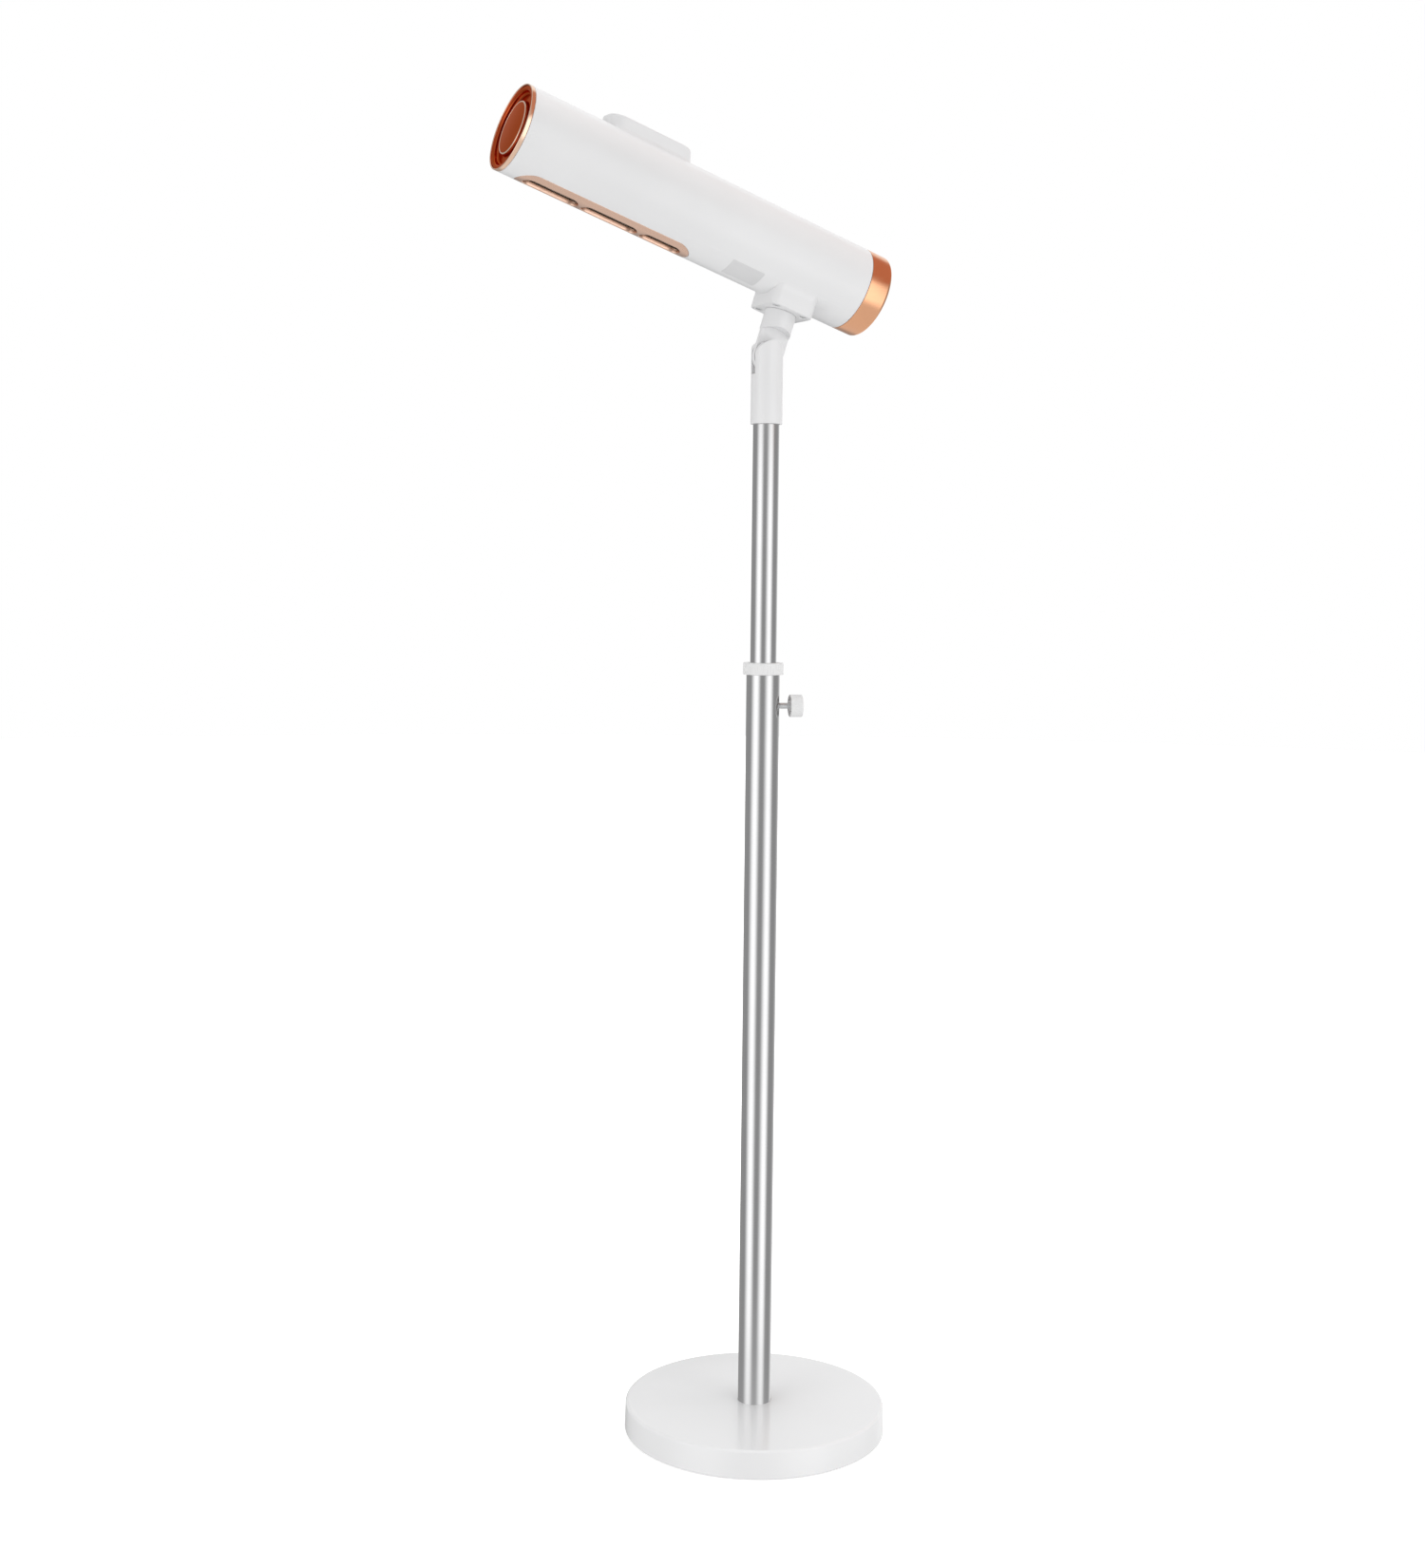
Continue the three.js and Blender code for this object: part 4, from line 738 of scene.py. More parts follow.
def meshTree(material):
    # staggered round holes: one cell copied over a field, joined edge to edge
    tree = Tree("perforations", {"Columns": 60, "Rows": 10, "Pitch": 2.0, "RowPitch": 1.7})
    columns, rows = tree.given["Columns"], tree.given["Rows"]
    points, index = tree.stack(tree.math("MULTIPLY", columns, rows))
    row = tree.math("FLOOR", tree.math("DIVIDE", index, columns))
    column = tree.math("SUBTRACT", index, tree.math("MULTIPLY", row, columns))
    shift = tree.math("MULTIPLY", tree.math("FLOORED_MODULO", row, 2.0), 0.5)
    midColumn = tree.math("MULTIPLY", tree.math("SUBTRACT", columns, 0.5), 0.5)
    midRow = tree.math("MULTIPLY", tree.math("SUBTRACT", rows, 1.0), 0.5)
    across = tree.math("SUBTRACT", tree.math("ADD", column, shift), midColumn)
    along = tree.math("SUBTRACT", row, midRow)
    place = tree.node("ShaderNodeCombineXYZ", in0=tree.math("MULTIPLY", across, tree.given["Pitch"]),
                      in1=tree.math("MULTIPLY", along, tree.given["RowPitch"]))
    spread = tree.node("GeometryNodeSetPosition", Geometry=points, Position=place.outputs[0])
    return tree.close(tree.copies(spread.outputs[0]), material)


def coilTree(material):
    # round wire wound on a cylinder
    tree = Tree("woundWire", {"Turns": 16.0, "Radius": 14.0, "Length": 130.0, "Wire": 0.35})
    radius = tree.given["Radius"]
    spiral = tree.node("GeometryNodeCurveSpiral", Resolution=28, Rotations=tree.given["Turns"],
                       Start_Radius=radius, End_Radius=radius, Height=tree.given["Length"])
    ring = tree.node("GeometryNodeCurvePrimitiveCircle", Resolution=8, Radius=tree.given["Wire"])
    wire = tree.node("GeometryNodeCurveToMesh", Curve=spiral.outputs[0],
                     Profile_Curve=ring.outputs[0], Fill_Caps=True)
    return tree.close(wire.outputs[0], material)


print("node trees ready")


base = {
    "draft": 0.7, "shoulder": 3.0, "foot": 0.8, "wall": 2.0, "holeEase": 0.5, "innerEase": 0.4,
    "grooves": 5, "grooveDepth": 0.4, "grooveWidth": 2.5,
}


def makeBase():
    low, high = spanOf("base_cover", standPlace)
    tube = spanOf("lower_tube", standPlace)[1].x
    radius, top = high.x, high.z
    wall = base["wall"]
    inner = base["shoulder"] - wall
    hole = tube + seatGap
    profile = eased([
        (radius - wall, low.z, base["innerEase"]),
        (radius, low.z, base["foot"]),
        (radius - base["draft"], top, base["shoulder"]),
        (hole, top, base["holeEase"]),
        (hole, top - wall, 0),
        (radius - wall - base["draft"], top - wall, inner),
    ], 8)
    cover = turned("baseCover", profile, 192)
    finishPiece(cover, standPlace, "stand", "base_white", "base_cover")

    low, high = spanOf("base_pad", standPlace)
    corners = [(0, high.z, 0), (high.x, high.z, 0.3), (high.x, low.z, 0.5)]
    pitch = high.x / (base["grooves"] + 1)
    half, depth = base["grooveWidth"] / 2, base["grooveDepth"]
    for i in range(base["grooves"], 0, -1):
        middle = i * pitch
        corners += [(middle + half, low.z, 0.2), (middle + half, low.z + depth, 0),
                    (middle - half, low.z + depth, 0), (middle - half, low.z, 0.2)]
    corners.append((0, low.z, 0))
    pad = turned("basePad", eased(corners, 2, closed=False), 128, closed=False)
    finishPiece(pad, standPlace, "stand", "black_rubber", "base_pad")
    # the pole's polish mirrors only the studio, down to its foot
    inside = [frame["nodes"][node] for node in ("base_ballast", "pole_washer", "pole_bolt", "foot_plug")]
    for piece in (cover, pad, *inside):
        piece.visible_glossy = False


makeBase()
print("base made")


pole = {
    "wall": 1.2, "endEase": 0.35, "innerEase": 0.2, "footEase": 1.1, "screwHole": 3.3,
    "collarRibs": 40.0, "collarGroove": 0.36, "collarEase": 1.8, "collarHole": 12.8, "collarLip": 2.5,
}


def makeTube(name, node, footEase):
    low, high = spanOf(node, standPlace)
    radius, bore, ease = high.x, high.x - pole["wall"], pole["endEase"]
    profile = eased([(bore, low.z, pole["innerEase"]), (radius, low.z, footEase),
                     (radius, high.z, ease), (bore, high.z, ease)], 4)
    return turned(name, profile, 160)


def makePole():
    radius = spanOf("lower_tube", standPlace)[1].x
    tube = makeTube("lowerTube", "lower_tube", pole["footEase"])
    toLock = standPlace.inverted() @ lockPlace
    cut(tube, rod("bit", pole["screwHole"], 32, 0, radius + 2 * past, toLock @ alongX))
    finishPiece(tube, standPlace, "stand", "polished_steel", "lower_tube")
    tube = makeTube("upperTube", "upper_tube", pole["endEase"])
    finishPiece(tube, standPlace, "mast", "polished_steel", "upper_tube")

    low, high = spanOf("collar", standPlace)
    socket, hole, ease = radius + seatGap, pole["collarHole"], pole["collarEase"]
    lip = high.z - pole["collarLip"]
    # points up the rim, between which the ribs start and end
    rim = [(high.x, low.z + (high.z - low.z) * k / 6, 0) for k in range(1, 6)]
    collar = turned("collar_ring", eased([
        (socket, low.z, 0.4), (high.x, low.z, ease), *rim, (high.x, high.z, ease),
        (hole, high.z, 0.5), (hole, lip, 0), (socket, lip, 0),
    ], 5), 480)
    ribTree(materials["fitting_white"]).apply(
        collar, Ribs=pole["collarRibs"], Depth=pole["collarGroove"], Inner=socket + 1.0,
        Low=low.z + ease * 0.8, High=high.z - ease * 0.8)
    finishPiece(collar, standPlace, "stand", "fitting_white", "collar", limit=50)


makePole()
print("pole made")


lock = {
    "pitch": 1.0, "threadDepth": 0.55, "divisions": 10, "tip": 0.5, "bore": 3.3,
    "hollow": 5.0, "wall": 1.9, "boss": 5.0, "outerEase": 3.0, "innerEase": 0.6,
    "dish": 0.5, "dishEdge": 0.62, "dishFloor": 0.58, "ribs": 36.0, "groove": 0.5,
}


def makeLock():
    low, high = spanOf("lock_screw", lockPlace)
    radius, end = high.y, high.x
    narrow = radius - lock["tip"]
    steps = int((end - low.x) * lock["divisions"])
    side = [(radius, low.x + (end - low.x) * i / steps) for i in range(3, steps - 2)]
    screw = turned("lockScrew", [(0, low.x), (narrow, low.x), *side, (narrow, end), (0, end)],
                   48, closed=False)
    threadTree(materials["zinc_steel"]).apply(
        screw, Pitch=lock["pitch"], Depth=lock["threadDepth"], Inner=radius - 0.1, Low=low.x, High=end)
    finishPiece(screw, lockPlace @ alongX, "lock", "zinc_steel", "lock_screw", limit=60)

    low, high = spanOf("lock_knob", lockPlace)
    outer, bore, boss = high.z, lock["bore"], lock["boss"]
    inner, hollow = outer - lock["wall"], low.x + lock["hollow"]
    screwEnd, dish = end + seatGap, high.x - lock["dish"]
    rim = [(outer, high.x - (high.x - low.x) * k / 8, 0) for k in range(7, 0, -1)]
    knob = turned("lockKnob", eased([
        (0, screwEnd, 0), (bore, screwEnd, 0), (bore, low.x, 0.3), (boss, low.x, 0.4),
        (boss, hollow, 0.4), (inner, hollow, 0.6), (inner, low.x, 0.4),
        (outer, low.x, lock["innerEase"]), *rim, (outer, high.x, lock["outerEase"]),
        (outer * lock["dishEdge"], high.x, 0.8), (outer * lock["dishFloor"], dish, 0.8), (0, dish, 0),
    ], 5, closed=False), 432, closed=False)
    ribTree(materials["fitting_white"]).apply(
        knob, Ribs=lock["ribs"], Depth=lock["groove"], Inner=outer - 0.3,
        Low=low.x + 0.9, High=high.x - lock["outerEase"])
    finishPiece(knob, lockPlace @ alongX, "lock", "fitting_white", "lock_knob", limit=50)


makeLock()
print("lock made")


knuckle = {
    "slotHalf": 3.3, "slotDepth": 16.0, "flat": 14.5, "flatDrop": 22.7, "sleeveDepth": 30.0,
    "bore": 12.8, "boltHole": 4.3, "headPocket": 6.9, "pocketFloor": 11.3, "nearCheek": 2.4,
    "grubHole": 2.5, "tongueHalf": 2.2, "shoulder": 27.7, "clear": 20.0, "edge": 0.55, "spigot": 6.0,
    "boltRadius": 4.0, "boltHead": 6.6, "headHeight": 3.2, "socket": 5.0, "socketDepth": 2.2,
}


def makeFork():
    low, high = spanOf("knuckle_fork", standPlace)
    radius, reach, top = -low.x, -low.x + past, high.z + past
    body = rod("knuckleFork", radius, 144, low.z, high.z)
    sideView = ([(-radius, low.z - past), (radius, low.z - past)]
                + arc(0, pivotHeight, radius, 0, 180, 72))
    turn = Matrix.Rotation(math.radians(90), 4, "X")
    keepCommon(body, prism("side", sideView, -reach, reach, turn))
    half, flat = knuckle["slotHalf"], knuckle["flat"]
    shoulder = pivotHeight - knuckle["flatDrop"]
    grub = sum(corner.z for corner in spanOf("grub_screw", standPlace)) / 2
    atPivot = moved(z=pivotHeight) @ alongY
    cut(body,
        box(reach, -half, half, pivotHeight - knuckle["slotDepth"], top),
        box(reach, flat, reach, shoulder, top),
        box(reach, -reach, -flat, shoulder, top),
        rod("bore", knuckle["bore"], 96, low.z - past, low.z + knuckle["sleeveDepth"]),
        rod("bolt", knuckle["boltHole"], 48, knuckle["nearCheek"] - flat, reach, atPivot),
        rod("pocket", knuckle["headPocket"], 64, knuckle["pocketFloor"], reach, atPivot),
        rod("grub", knuckle["grubHole"], 32, 0, reach, moved(z=grub) @ alongX))
    easeEdges(body, knuckle["edge"], 3)
    finishPiece(body, standPlace, "mast", "knuckle_white", "knuckle_fork", limit=28)


def makeTongue():
    high = spanOf("knuckle_tongue", headPlace)[1]
    seat = spanOf("bracket_plate", headPlace)[0].z - seatGap
    radius, half, clear = high.y, knuckle["tongueHalf"], knuckle["clear"]
    turn = moved(z=pivotDrop) @ alongY
    stub = rod("knuckleTongue", radius, 144, pivotDrop, seat)
    cut(stub, *[rod("shoulder", knuckle["shoulder"], 160, start, end, turn)
                for start, end in ((-clear, -half), (half, clear))])
    join(stub, rod("end", radius, 144, -half, half, turn))
    cut(stub, rod("hole", knuckle["boltHole"], 48, -clear, clear, turn))
    join(stub, rod("spigot", knuckle["spigot"], 48, seat - past, high.z))
    finishPiece(stub, headPlace, "head", "knuckle_white", "knuckle_tongue", limit=28)


def makePivotBolt():
    low, high = spanOf("pivot_bolt", standPlace)
    radius, head = knuckle["boltRadius"], knuckle["boltHead"]
    floor = high.y - knuckle["headHeight"]
    bolt = turned("pivotBolt", eased([
        (0, low.y, 0), (radius, low.y, 0.4), (radius, floor, 0), (head, floor, 0.2),
        (head, high.y, 0.6), (0, high.y, 0),
    ], 4, closed=False), 64, closed=False)
    # a six-sided socket, its size measured across the flats
    socket, depth = knuckle["socket"] / math.sqrt(3), knuckle["socketDepth"]
    cut(bolt, rod("socket", socket, 6, high.y - depth, high.y + past))
    finishPiece(bolt, standPlace @ moved(z=pivotHeight) @ alongY, "mast", "zinc_steel", "pivot_bolt")


makeFork()
makeTongue()
makePivotBolt()
print("knuckle made")


# tube, control pod and bracket in one moulding; fronts and rears are forward of the bracket's middle
shell = {
    "wall": 2.5, "segments": 160, "podWidth": 36.0, "podBlend": 6.0, "podEdge": 1.4,
    "bracketLength": 45.5, "bracketWidth": 49.4, "bracketRound": 7.0, "bracketBlend": 14.0,
    "bracketWall": 2.2, "bracketEase": 1.0, "podFront": 223.8, "podRear": 138.2,
    "podCorner": 14.0, "podRearLean": 15.5, "podWall": 1.5, "panelDepth": 2.2, "outletWidth": 35.4,
    "outletFront": 287.0, "outletRear": 109.0, "outletGap": 0.25, "endEase": 0.5,
}
podMiddle = (shell["podFront"] + shell["podRear"]) / 2
outletMiddle = (shell["outletFront"] + shell["outletRear"]) / 2
outletLength = shell["outletFront"] - shell["outletRear"]


def sweptWidths(halfWidth, blend, radius, steps):
    # half-widths of a wall that curves out to meet the tube's round side, highest first
    centre = math.sqrt((radius + blend) ** 2 - (halfWidth + blend) ** 2)
    touch = centre * radius / (radius + blend)
    levels = []
    for i in range(steps + 1):
        height = centre + (touch - centre) * i / steps
        levels.append((halfWidth + blend - math.sqrt(blend ** 2 - (centre - height) ** 2), height))
    return levels


def podOutline(inset):
    length = shell["podFront"] - shell["podRear"]
    return roundedRectangle(length - 2 * inset, shell["podWidth"] - 2 * inset,
                            shell["podCorner"] - inset, 12)


def makePodBlock(radius, top):
    half = shell["podWidth"] / 2
    sweep = sweptWidths(half, shell["podBlend"], radius, 10)
    lean = math.tan(math.radians(shell["podRearLean"]))

    def level(inset, width, height):
        # the rear end leans out towards its foot
        back = (top - height) * lean
        return [(x - podMiddle + (back if x > 0 else 0), y * width / half)
                for x, y in podOutline(inset)], height

    levels = [level(0, sweep[-1][0], radius * 0.65)]
    levels += [level(0, width, height) for width, height in reversed(sweep)]
    edge = shell["podEdge"]
    for i in range(6):
        turn = math.radians(90 * i / 5)
        levels.append(level(edge * (1 - math.cos(turn)), half, top - edge + edge * math.sin(turn)))
    return loft("pod", levels)


def makeBracketBlock(radius, drop):
    half = shell["bracketWidth"] / 2
    sweep = sweptWidths(half, shell["bracketBlend"], radius, 14)

    def outline(width, inset=0.0):
        return roundedRectangle(shell["bracketLength"] - 2 * inset, 2 * width - 2 * inset,
                                shell["bracketRound"] - inset, 10)

    ease = shell["bracketEase"]
    levels = []
    for i in range(4):
        turn = math.radians(90 * i / 3)
        levels.append((outline(half, ease * (1 - math.sin(turn))), -drop + ease * (1 - math.cos(turn))))
    levels += [(outline(width), -height) for width, height in sweep]
    levels.append((outline(sweep[-1][0]), -radius * 0.5))
    return loft("bracket", levels)


def makeShell():
    low, high = spanOf("head_shell", headPlace)
    radius = spanOf("front_ring", headPlace)[1].y
    ease, count, wall = shell["endEase"], shell["segments"], shell["bracketWall"]
    profile = eased([(0, -high.x, 0), (radius, -high.x, ease), (radius, -low.x, ease), (0, -low.x, 0)],
                    4, closed=False)
    body = turned("headShell", profile, count, closed=False, turn=forward)
    join(body, makePodBlock(radius, high.z), makeBracketBlock(radius, -low.z))
    inner = roundedRectangle(shell["bracketLength"] - 2 * wall, shell["bracketWidth"] - 2 * wall,
                             shell["bracketRound"] - wall)
    gap = 2 * shell["outletGap"]
    opening = stadium(outletLength + gap, shell["outletWidth"] + gap, 32)
    cut(body,
        rod("borer", radius - shell["wall"], count, -high.x - 5, -low.x + 5, forward),
        prism("tray", podOutline(shell["podWall"]), high.z - shell["panelDepth"] - 6, high.z + past,
              moved(x=-podMiddle)),
        prism("cavity", inner, low.z - past, low.z + 9),
        prism("window", opening, -radius - past, -radius / 2, moved(x=-outletMiddle)))
    finishPiece(body, headPlace, "head", "shell_white", "head_shell", limit=25)
    return radius


headRadius = makeShell()
print("shell made")


ends = {
    "lip": 1.2, "spigot": 8.0, "ringWall": 1.2, "flange": 1.0,
    "dish": 6.0, "dishFloor": 2.0, "bowl": 3.4, "rimBack": 1.2, "rimWall": 1.2,
    "boss": 24.7, "bossFoot": 0.6, "bossHeight": 4.6, "bossRound": 2.4,
    "lineWidth": 1.4, "lineHeight": 1.5, "lineProud": 0.05, "lineRound": 1.1,
    "bandWall": 2.2, "bandRound": 5.5, "bandLip": 3.0, "opening": 32.5,
}


def makeFrontEnd():
    low, high = spanOf("front_ring", headPlace)
    front, back = -low.x, -high.x
    inner = headRadius - shell["wall"] - seatGap
    bore = inner - ends["ringWall"]
    face = back + ends["spigot"] + seatGap
    lip = headRadius - ends["lip"]
    step = face + ends["flange"]
    profile = eased([
        (bore, back, 0.3), (inner, back, 0.3), (inner, face, 0),
        (headRadius, face, 0.25), (headRadius, front, 0.6), (lip, front, 0.6),
        (lip, step, 0), (bore, step, 0),
    ], 5)
    ring = turned("frontRing", profile, 192, turn=forward)
    # the front ring takes the lighter copy of rose gold: a painted highlight
    finishPiece(ring, headPlace, "head", "rose_gold", "front_ring", look="bright_rose_gold")

    edge = lip - seatGap
    floor = front - ends["dish"]
    top = floor + ends["bossHeight"]
    rim = front - ends["rimBack"]
    plug = bore - seatGap
    dishEdge = plug - ends["rimWall"]
    seat = step + seatGap
    profile = eased([
        (0, floor - ends["dishFloor"], 0), (plug, floor - ends["dishFloor"], 0.3), (plug, seat, 0),
        (edge, seat, 0), (edge, rim, 0.4), (edge - ends["rimWall"], rim, 0.5),
        (dishEdge, seat + ends["rimWall"], 1.5), (dishEdge, floor, ends["bowl"]),
        (ends["boss"] + ends["bossFoot"], floor, 1.2), (ends["boss"], top, ends["bossRound"]), (0, top, 0),
    ], 7, closed=False)
    cap = turned("frontCap", profile, 192, closed=False, turn=forward)
    finishPiece(cap, headPlace, "head", "burnt_copper", "front_cap")

    # pale rose-gold turned ring round the boss, whose lighter colour is a painted highlight on the boss's edge
    out, up = ends["boss"] + ends["lineProud"], top + ends["lineProud"]
    inside, foot = out - ends["lineWidth"], up - ends["lineHeight"]
    line = turned("bossPaintedHighlight", eased([
        (inside, foot, 0), (out, foot, 0.3), (out, up, ends["lineRound"]), (inside, up, 0.2),
    ], 6), 160, turn=forward)
    finishPiece(line, headPlace, "head", "rose_gold", look="bright_rose_gold")


def makeRearEnd():
    low, high = spanOf("rear_band", headPlace)
    rear, front = -high.x, -low.x
    inner = headRadius - shell["wall"] - seatGap
    bore = inner - ends["bandWall"]
    face = front - ends["spigot"] - seatGap
    lip, opening = rear + ends["bandLip"], ends["opening"]
    profile = eased([
        (opening, rear, 0.8), (headRadius, rear, ends["bandRound"]), (headRadius, face, 0.25),
        (inner, face, 0), (inner, front, 0.3), (bore, front, 0.3), (bore, lip, 0), (opening, lip, 0.5),
    ], 9)
    band = turned("rearBand", profile, 192, turn=forward)
    finishPiece(band, headPlace, "head", "rose_gold", "rear_band")


makeFrontEnd()
makeRearEnd()
print("ends made")


intake = {"rings": 7, "bar": 1.5, "rim": 1.5, "spokes": 6, "spokeWidth": 2.0, "spokeInset": 0.2, "hub": 8.0}


def makeGrille():
    low, high = spanOf("rear_grille", headPlace)
    rear, front, radius = -high.x, -low.x, high.y
    hub, opening = intake["hub"], ends["opening"]
    pitch = (opening - hub) / intake["rings"]
    bars = []
    for i in range(1, intake["rings"]):
        middle, half = hub + i * pitch, intake["bar"] / 2
        corners = [(middle - half, rear, 0.5), (middle + half, rear, 0.5),
                   (middle + half, front, 0.2), (middle - half, front, 0.2)]
        bars.append(turned("bar", eased(corners, 3), 128, turn=forward))
    inner = opening - intake["rim"]
    rim = [(inner, rear, 0.4), (radius, rear, 0.2), (radius, front, 0.2), (inner, front, 0.2)]
    bars.append(turned("rim", eased(rim, 3), 160, turn=forward))
    disc = [(0, rear, 0), (hub, rear, 0.8), (hub, front, 0.2), (0, front, 0)]
    bars.append(turned("hub", eased(disc, 4, closed=False), 96, closed=False, turn=forward))
    half, inset = intake["spokeWidth"] / 2, intake["spokeInset"]
    start, end = -front + inset, -rear - inset
    spoke = prism("spoke", [(start, -half), (end, -half), (end, half), (start, half)],
                  hub - 1, opening - 0.5)
    easeEdges(spoke, 0.4, 2)
    spokeTree(materials["rose_gold"]).apply(spoke, Count=intake["spokes"])
    grille = together("rearGrille", [*bars, spoke])
    finishPiece(grille, headPlace, "head", "rose_gold", "rear_grille")


impeller = {
    "blades": 7, "bladeSteps": 10, "hubPitch": 48.0, "tipPitch": 26.0, "camber": 0.12,
    "thickness": 1.2, "hub": 10.0, "bore": 1.8,
}


def makeImpeller():
    low, high = spanOf("fan_impeller", headPlace)
    rear, front, tip = -high.x, -low.x, high.z
    hubRadius, steps = impeller["hub"], impeller["bladeSteps"]
    middle = (rear + front) / 2 - 0.5
    chord = (front - rear - 2) / math.sin(math.radians(impeller["hubPitch"]))
    shape = bmesh.new()

    def bladePoint(side, u, v):
        # u runs from the hub to the tip, v from one edge of the blade to the other
        radius = hubRadius - 1 + (tip - hubRadius + 1) * u
        pitch = math.radians(impeller["hubPitch"] + (impeller["tipPitch"] - impeller["hubPitch"]) * u)
        along = v * chord
        thick = impeller["thickness"] / 2 * math.sqrt(max(0.04, 1 - (2 * v) ** 4))
        camber = impeller["camber"] * chord * (1 - 4 * v * v) + side * thick
        turn = (along * math.cos(pitch) - camber * math.sin(pitch)) / radius
        height = middle + along * math.sin(pitch) + camber * math.cos(pitch)
        return forward @ Vector((radius * math.cos(turn), radius * math.sin(turn), height))

    near, far = [[[shape.verts.new(bladePoint(side, i / steps, j / steps - 0.5))
                   for j in range(steps + 1)] for i in range(steps + 1)] for side in (-1, 1)]
    for skin in (near, far):
        for i in range(steps):
            for j in range(steps):
                shape.faces.new((skin[i][j], skin[i + 1][j], skin[i + 1][j + 1], skin[i][j + 1]))
    for i in range(steps):
        for j in (0, steps):
            shape.faces.new((near[i][j], near[i + 1][j], far[i + 1][j], far[i][j]))
            shape.faces.new((near[j][i], near[j][i + 1], far[j][i + 1], far[j][i]))
    blade = objectOf("blade", shape)
    spokeTree(materials["shell_white"]).apply(blade, Count=impeller["blades"])
    bore = impeller["bore"]
    hub = [(bore, rear + 1, 0), (hubRadius - 3, rear, 1.5), (hubRadius, rear + 3, 2.0),
           (hubRadius, front, 0.4), (bore, front, 0)]
    fan = together("fanImpeller", [blade, turned("hub", eased(hub, 5), 96, turn=forward)])
    finishPiece(fan, headPlace, "fan", "shell_white", "fan_impeller", look="dark_nylon")


makeGrille()
makeImpeller()
print("intake made")


outlet = {
    "depth": 4.6, "slotWidth": 17.4, "slotFront": 7.5, "slotLengths": (55.0, 57.0, 41.5),
    "slotBar": 4.2, "slotStretch": 1.02, "lipEase": 1.0, "bends": 30,
    "meshMargin": 4.0, "meshThickness": 0.8, "holePitch": 2.1, "holeRadius": 0.68, "holeSides": 12,
    "merge": 0.02,
}


def makeOutletFrame():
    # widths are measured along the curve, so that the frame ends where the window does
    half = shell["outletWidth"] / 2
    stretch = math.asin(half / headRadius) * headRadius / half
    holes = []
    slotFront = shell["outletFront"] - outlet["slotFront"]
    for slotLength in outlet["slotLengths"]:
        at = outletMiddle - (slotFront - slotLength / 2)
        holes.append([(x + at, y * outlet["slotStretch"])
                      for x, y in stadium(slotLength, outlet["slotWidth"], 20)])
        slotFront -= slotLength + outlet["slotBar"]
    outline = [(x, y * stretch) for x, y in stadium(outletLength, shell["outletWidth"], 32)]
    made = plate("outletFrame", outline, holes, -outlet["depth"], 0, outlet["lipEase"], 4)
    bendable(made, half * stretch, outlet["bends"])
    rollUnder(made, headRadius, outletMiddle)
    finishPiece(made, headPlace, "head", "pale_rose_gold", "outlet_frame", limit=30)


def meshCell(pitch):
    # a six-sided tile with a round hole through it
    sides = outlet["holeSides"]
    corners = [Matrix.Rotation(math.radians(30), 2) @ Vector(p) for p in circleOf(pitch / math.sqrt(3), 6)]
    edge = []
    for here, there in zip(corners, corners[1:] + corners[:1]):
        edge += [here, (here + there) / 2]
    start = math.atan2(edge[0].y, edge[0].x)
    turns = [start + k * 2 * math.pi / sides for k in range(sides)]
    hole = [Vector((math.cos(turn), math.sin(turn))) * outlet["holeRadius"] for turn in turns]
    shape = bmesh.new()
    (topEdge, topHole), (lowEdge, lowHole) = [
        [[shape.verts.new((*p, height)) for p in loop] for loop in (edge, hole)]
        for height in (0.0, -outlet["meshThickness"])]
    for k in range(sides):
        n = (k + 1) % sides
        shape.faces.new((topEdge[k], topEdge[n], topHole[n], topHole[k]))
        shape.faces.new((lowEdge[n], lowEdge[k], lowHole[k], lowHole[n]))
        shape.faces.new((topHole[k], topHole[n], lowHole[n], lowHole[k]))
    return addShape("outletMesh", shape)


def makeOutletMesh():
    pitch, margin = outlet["holePitch"], outlet["meshMargin"]
    rowPitch = pitch * math.sqrt(3) / 2
    made = meshCell(pitch)
    # an odd number of rows, so that one runs along the middle
    rows = int((shell["outletWidth"] - 2 * margin) / rowPitch) | 1
    meshTree(materials["outlet_steel"]).apply(
        made, Columns=int((outletLength - 2 * margin) / pitch), Rows=rows, Pitch=pitch, RowPitch=rowPitch)
    with reshaping(made) as shape:
        bmesh.ops.remove_doubles(shape, verts=shape.verts, dist=outlet["merge"])
    rollUnder(made, headRadius - outlet["depth"] - seatGap, outletMiddle)
    finishPiece(made, headPlace, "head", "outlet_steel", "outlet_mesh", limit=40)


coil = {"turns": 22.0, "wire": 0.45, "sink": 0.8, "endGap": 1.0}


def makeCoil():
    low, high = spanOf("heater_coil", headPlace)
    wound = addObject("heaterCoil", bpy.data.meshes.new("heaterCoil"))
    coilTree(materials["nichrome"]).apply(
        wound, Turns=coil["turns"], Radius=high.y - coil["sink"],
        Length=high.x - low.x - 2 * coil["endGap"], Wire=coil["wire"])
    wound.data.transform(moved(low.x + coil["endGap"], 0, (low.z + high.z) / 2) @ alongX)
    finishPiece(wound, headPlace, "head", "nichrome", "heater_coil", limit=60)


makeOutletFrame()
makeOutletMesh()
makeCoil()
print("outlet made")


underside = {
    "margin": 2.5, "ease": 0.5, "spigotHole": 6.3,
    "screwX": 15.0, "screwY": 17.0, "sink": 3.5, "headRadius": 3.0, "shank": 1.5,
    "cross": 0.7, "crossReach": 1.8, "crossDepth": 1.0,
}
gland = {"bore": 3.6, "wall": 1.0, "flange": 2.0, "edge": 0.9}


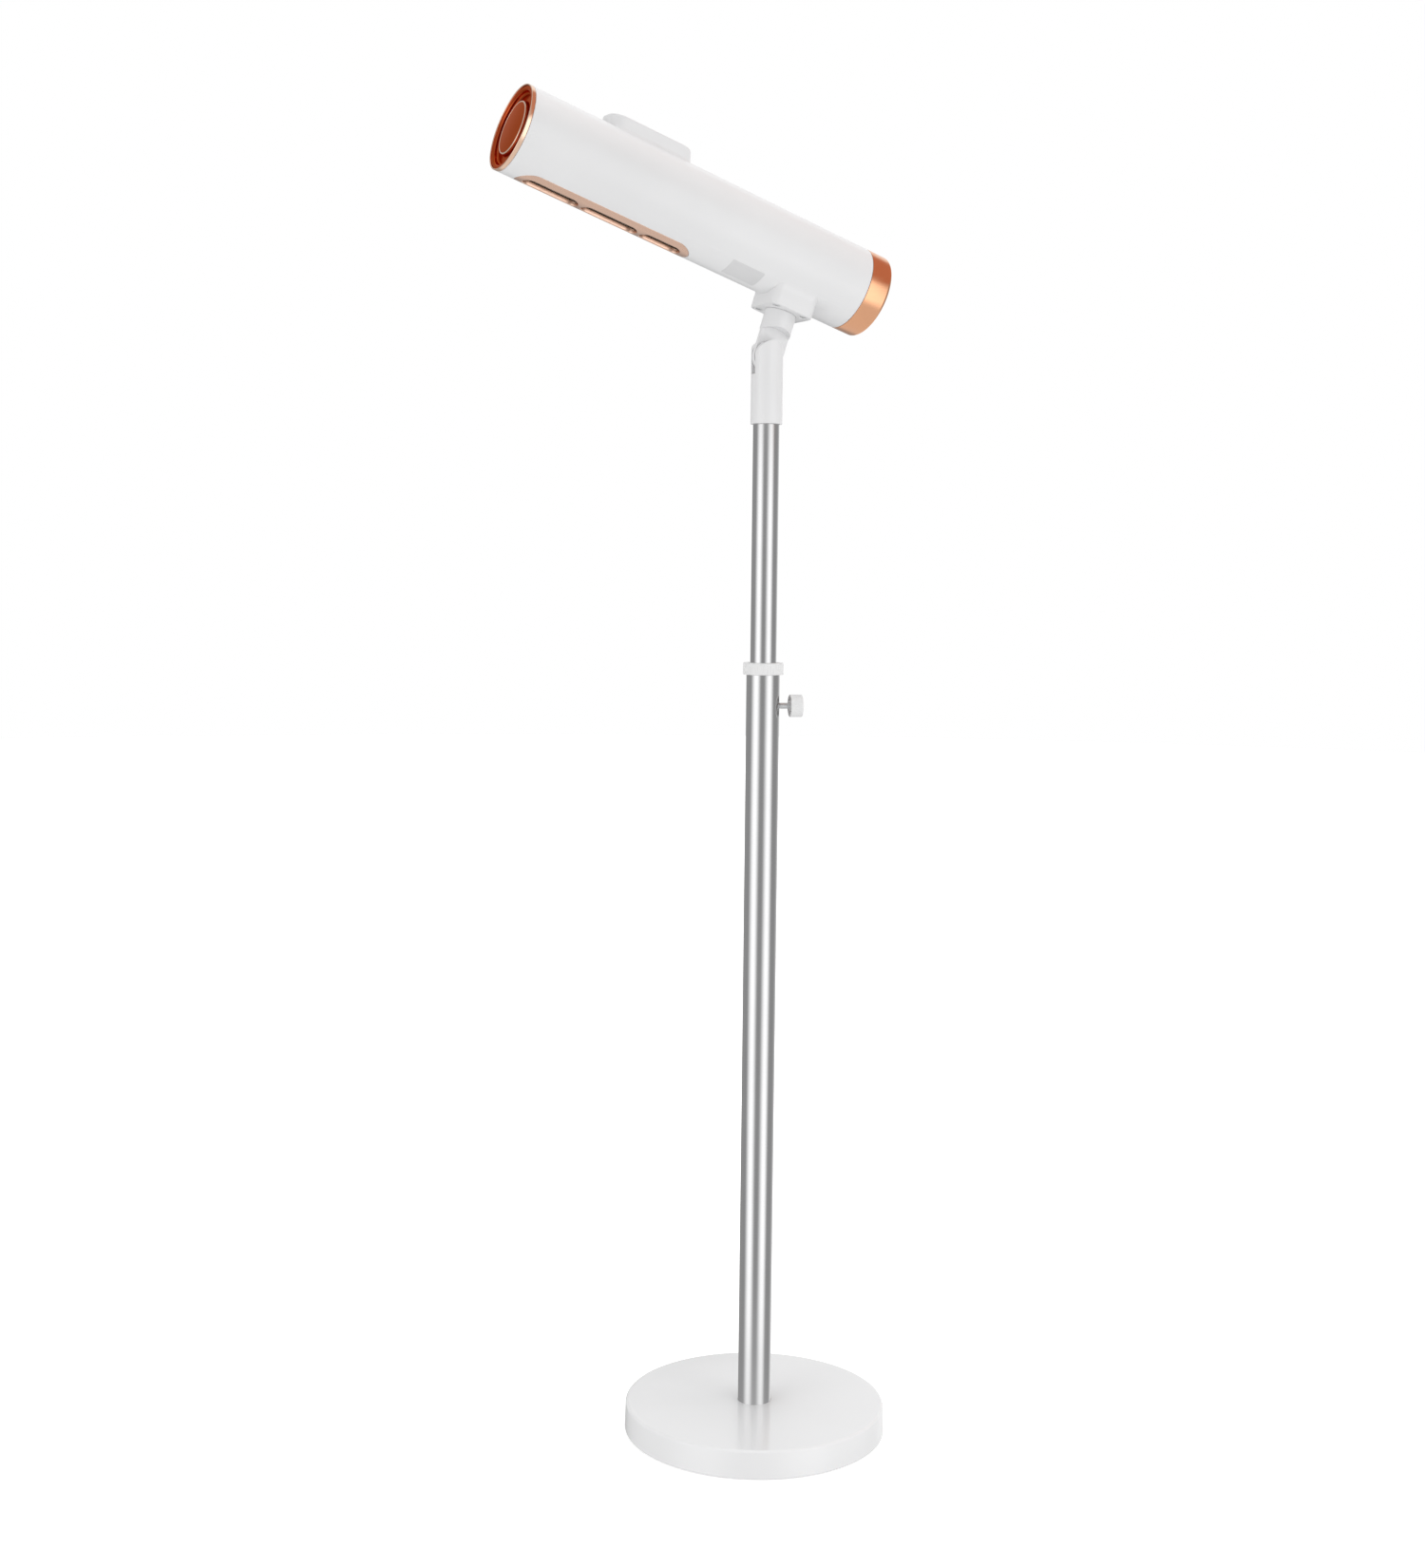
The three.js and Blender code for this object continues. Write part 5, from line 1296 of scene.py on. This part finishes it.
def makeUnderside():
    low, high = spanOf("bracket_plate", headPlace)
    corner = shell["bracketRound"] - underside["margin"]
    outline = roundedRectangle(high.x - low.x, high.y - low.y, corner, 10)
    places = [(x * underside["screwX"], y * underside["screwY"]) for x in (-1, 1) for y in (-1, 1)]
    holes = [circleOf(underside["spigotHole"], 48)]
    holes += [[(x + px, y + py) for px, py in circleOf(underside["sink"], 32)] for x, y in places]
    made = plate("bracketPlate", outline, holes, low.z, high.z, underside["ease"], 3)
    finishPiece(made, headPlace, "head", "shell_white", "bracket_plate")

    low, high = spanOf("plate_screw_1", headPlace)
    radius, shank = underside["headRadius"], underside["shank"]
    profile = eased([
        (0, low.z, 0), (radius, low.z, 0.5), (shank, low.z + shank, 0.2), (shank, high.z, 0.4),
        (0, high.z, 0),
    ], 3, closed=False)
    screws = turned("plateScrews", profile, 40, closed=False)
    half, reach = underside["cross"] / 2, underside["crossReach"]
    cut(screws, *[box(x, -y, y, low.z - past, low.z + underside["crossDepth"])
                  for x, y in ((reach, half), (half, reach))])
    shape = bmesh.new()
    for x, y in places:
        each = screws.data.copy()
        each.transform(moved(x, y, 0))
        shape.from_mesh(each)
    shape.to_mesh(screws.data)
    shape.free()
    finishPiece(screws, headPlace, "head", "zinc_steel", *[f"plate_screw_{i}" for i in (1, 2, 3, 4)])


def makeGland():
    low, high = spanOf("cord_gland", headPlace)
    middle, rim, bore = (low.z + high.z) / 2, (high.z - low.z) / 2, gland["bore"]
    body, flange = bore + gland["wall"], high.y - gland["flange"]
    made = turned("cordGland", eased([
        (bore, low.y, 0.2), (body, low.y, 0.3), (body, flange, 0), (rim, flange, 0.2),
        (rim, high.y - gland["edge"], 0.3), (rim - 1.0, high.y, 0.5), (bore, high.y, 0.6),
    ], 5), 72)
    finishPiece(made, headPlace @ moved(z=middle) @ alongY, "head", "dark_nylon", "cord_gland")


makeUnderside()
makeGland()
print("underside made")


controls = {
    "ease": 0.35, "buttonRadius": 5.0, "dish": 0.35, "dishEdge": 0.8, "dishFloor": 0.4,
    "skirt": 1.0, "capRound": 0.7,
}
buttons = {"button_1": "power_button", "button_2": "heat_button", "button_3": "speed_button"}


def makeControls():
    low, high = spanOf("control_panel", headPlace)
    middle, radius, skirt = (low.x + high.x) / 2, controls["buttonRadius"], controls["skirt"]
    spans = {node: spanOf(node, headPlace) for node in buttons}
    places = {node: (a.x + b.x) / 2 for node, (a, b) in spans.items()}
    hole = circleOf(radius + seatGap, 48)
    holes = [[(x + at - middle, y) for x, y in hole] for at in places.values()]
    outline = podOutline((shell["podWidth"] - (high.y - low.y)) / 2)
    made = plate("controlPanel", outline, holes, low.z, high.z, controls["ease"], 3)
    finishPiece(made, headPlace @ moved(x=middle), "head", "panel_white", "control_panel")
    under = low.z - seatGap
    for node, body in buttons.items():
        a, b = spans[node]
        flange, dish = (b.x - a.x) / 2, b.z - controls["dish"]
        cap = turned(body.replace("_b", "B"), eased([
            (0, a.z, 0), (radius - skirt, a.z, 0.3), (radius - skirt, under - skirt, 0),
            (flange, under - skirt, 0.2), (flange, under, 0.2), (radius, under, 0),
            (radius, b.z, controls["capRound"]), (radius * controls["dishEdge"], b.z, 1.5),
            (radius * controls["dishFloor"], dish, 2.0), (0, dish, 0),
        ], 5, closed=False), 72, closed=False)
        finishPiece(cap, headPlace @ moved(x=places[node]), body, "panel_white", node)


makeControls()
print("controls made")


# angles are from the head's near side down towards its underside
sticker = {
    "front": 74.0, "rear": 39.0, "start": 50.0, "end": 82.5, "corner": 1.2,
    "above": 0.02, "lift": 0.06, "ease": 0.012, "bends": 20,
}


def makeSticker():
    height = math.radians(sticker["end"] - sticker["start"]) * headRadius
    outline = roundedRectangle(sticker["front"] - sticker["rear"], height, sticker["corner"], 4)
    foot = sticker["above"]
    made = plate("blankSticker", outline, [], foot, foot + sticker["lift"], sticker["ease"], 1)
    bendable(made, height / 2, sticker["bends"])
    centre = math.radians((sticker["start"] + sticker["end"]) / 2 - 90)
    rollUnder(made, headRadius, (sticker["front"] + sticker["rear"]) / 2, centre)
    finishPiece(made, headPlace, "head", "shell_white", look="label")


makeSticker()
print("sticker made")


# what stays from the frame takes its finish by slot
for row in frame["record"]["subparts"]:
    node = frame["nodes"][row["node"]]
    node.data.materials.clear()
    node.data.materials.append(materials[row["material_slot"]])

print("all pieces made")
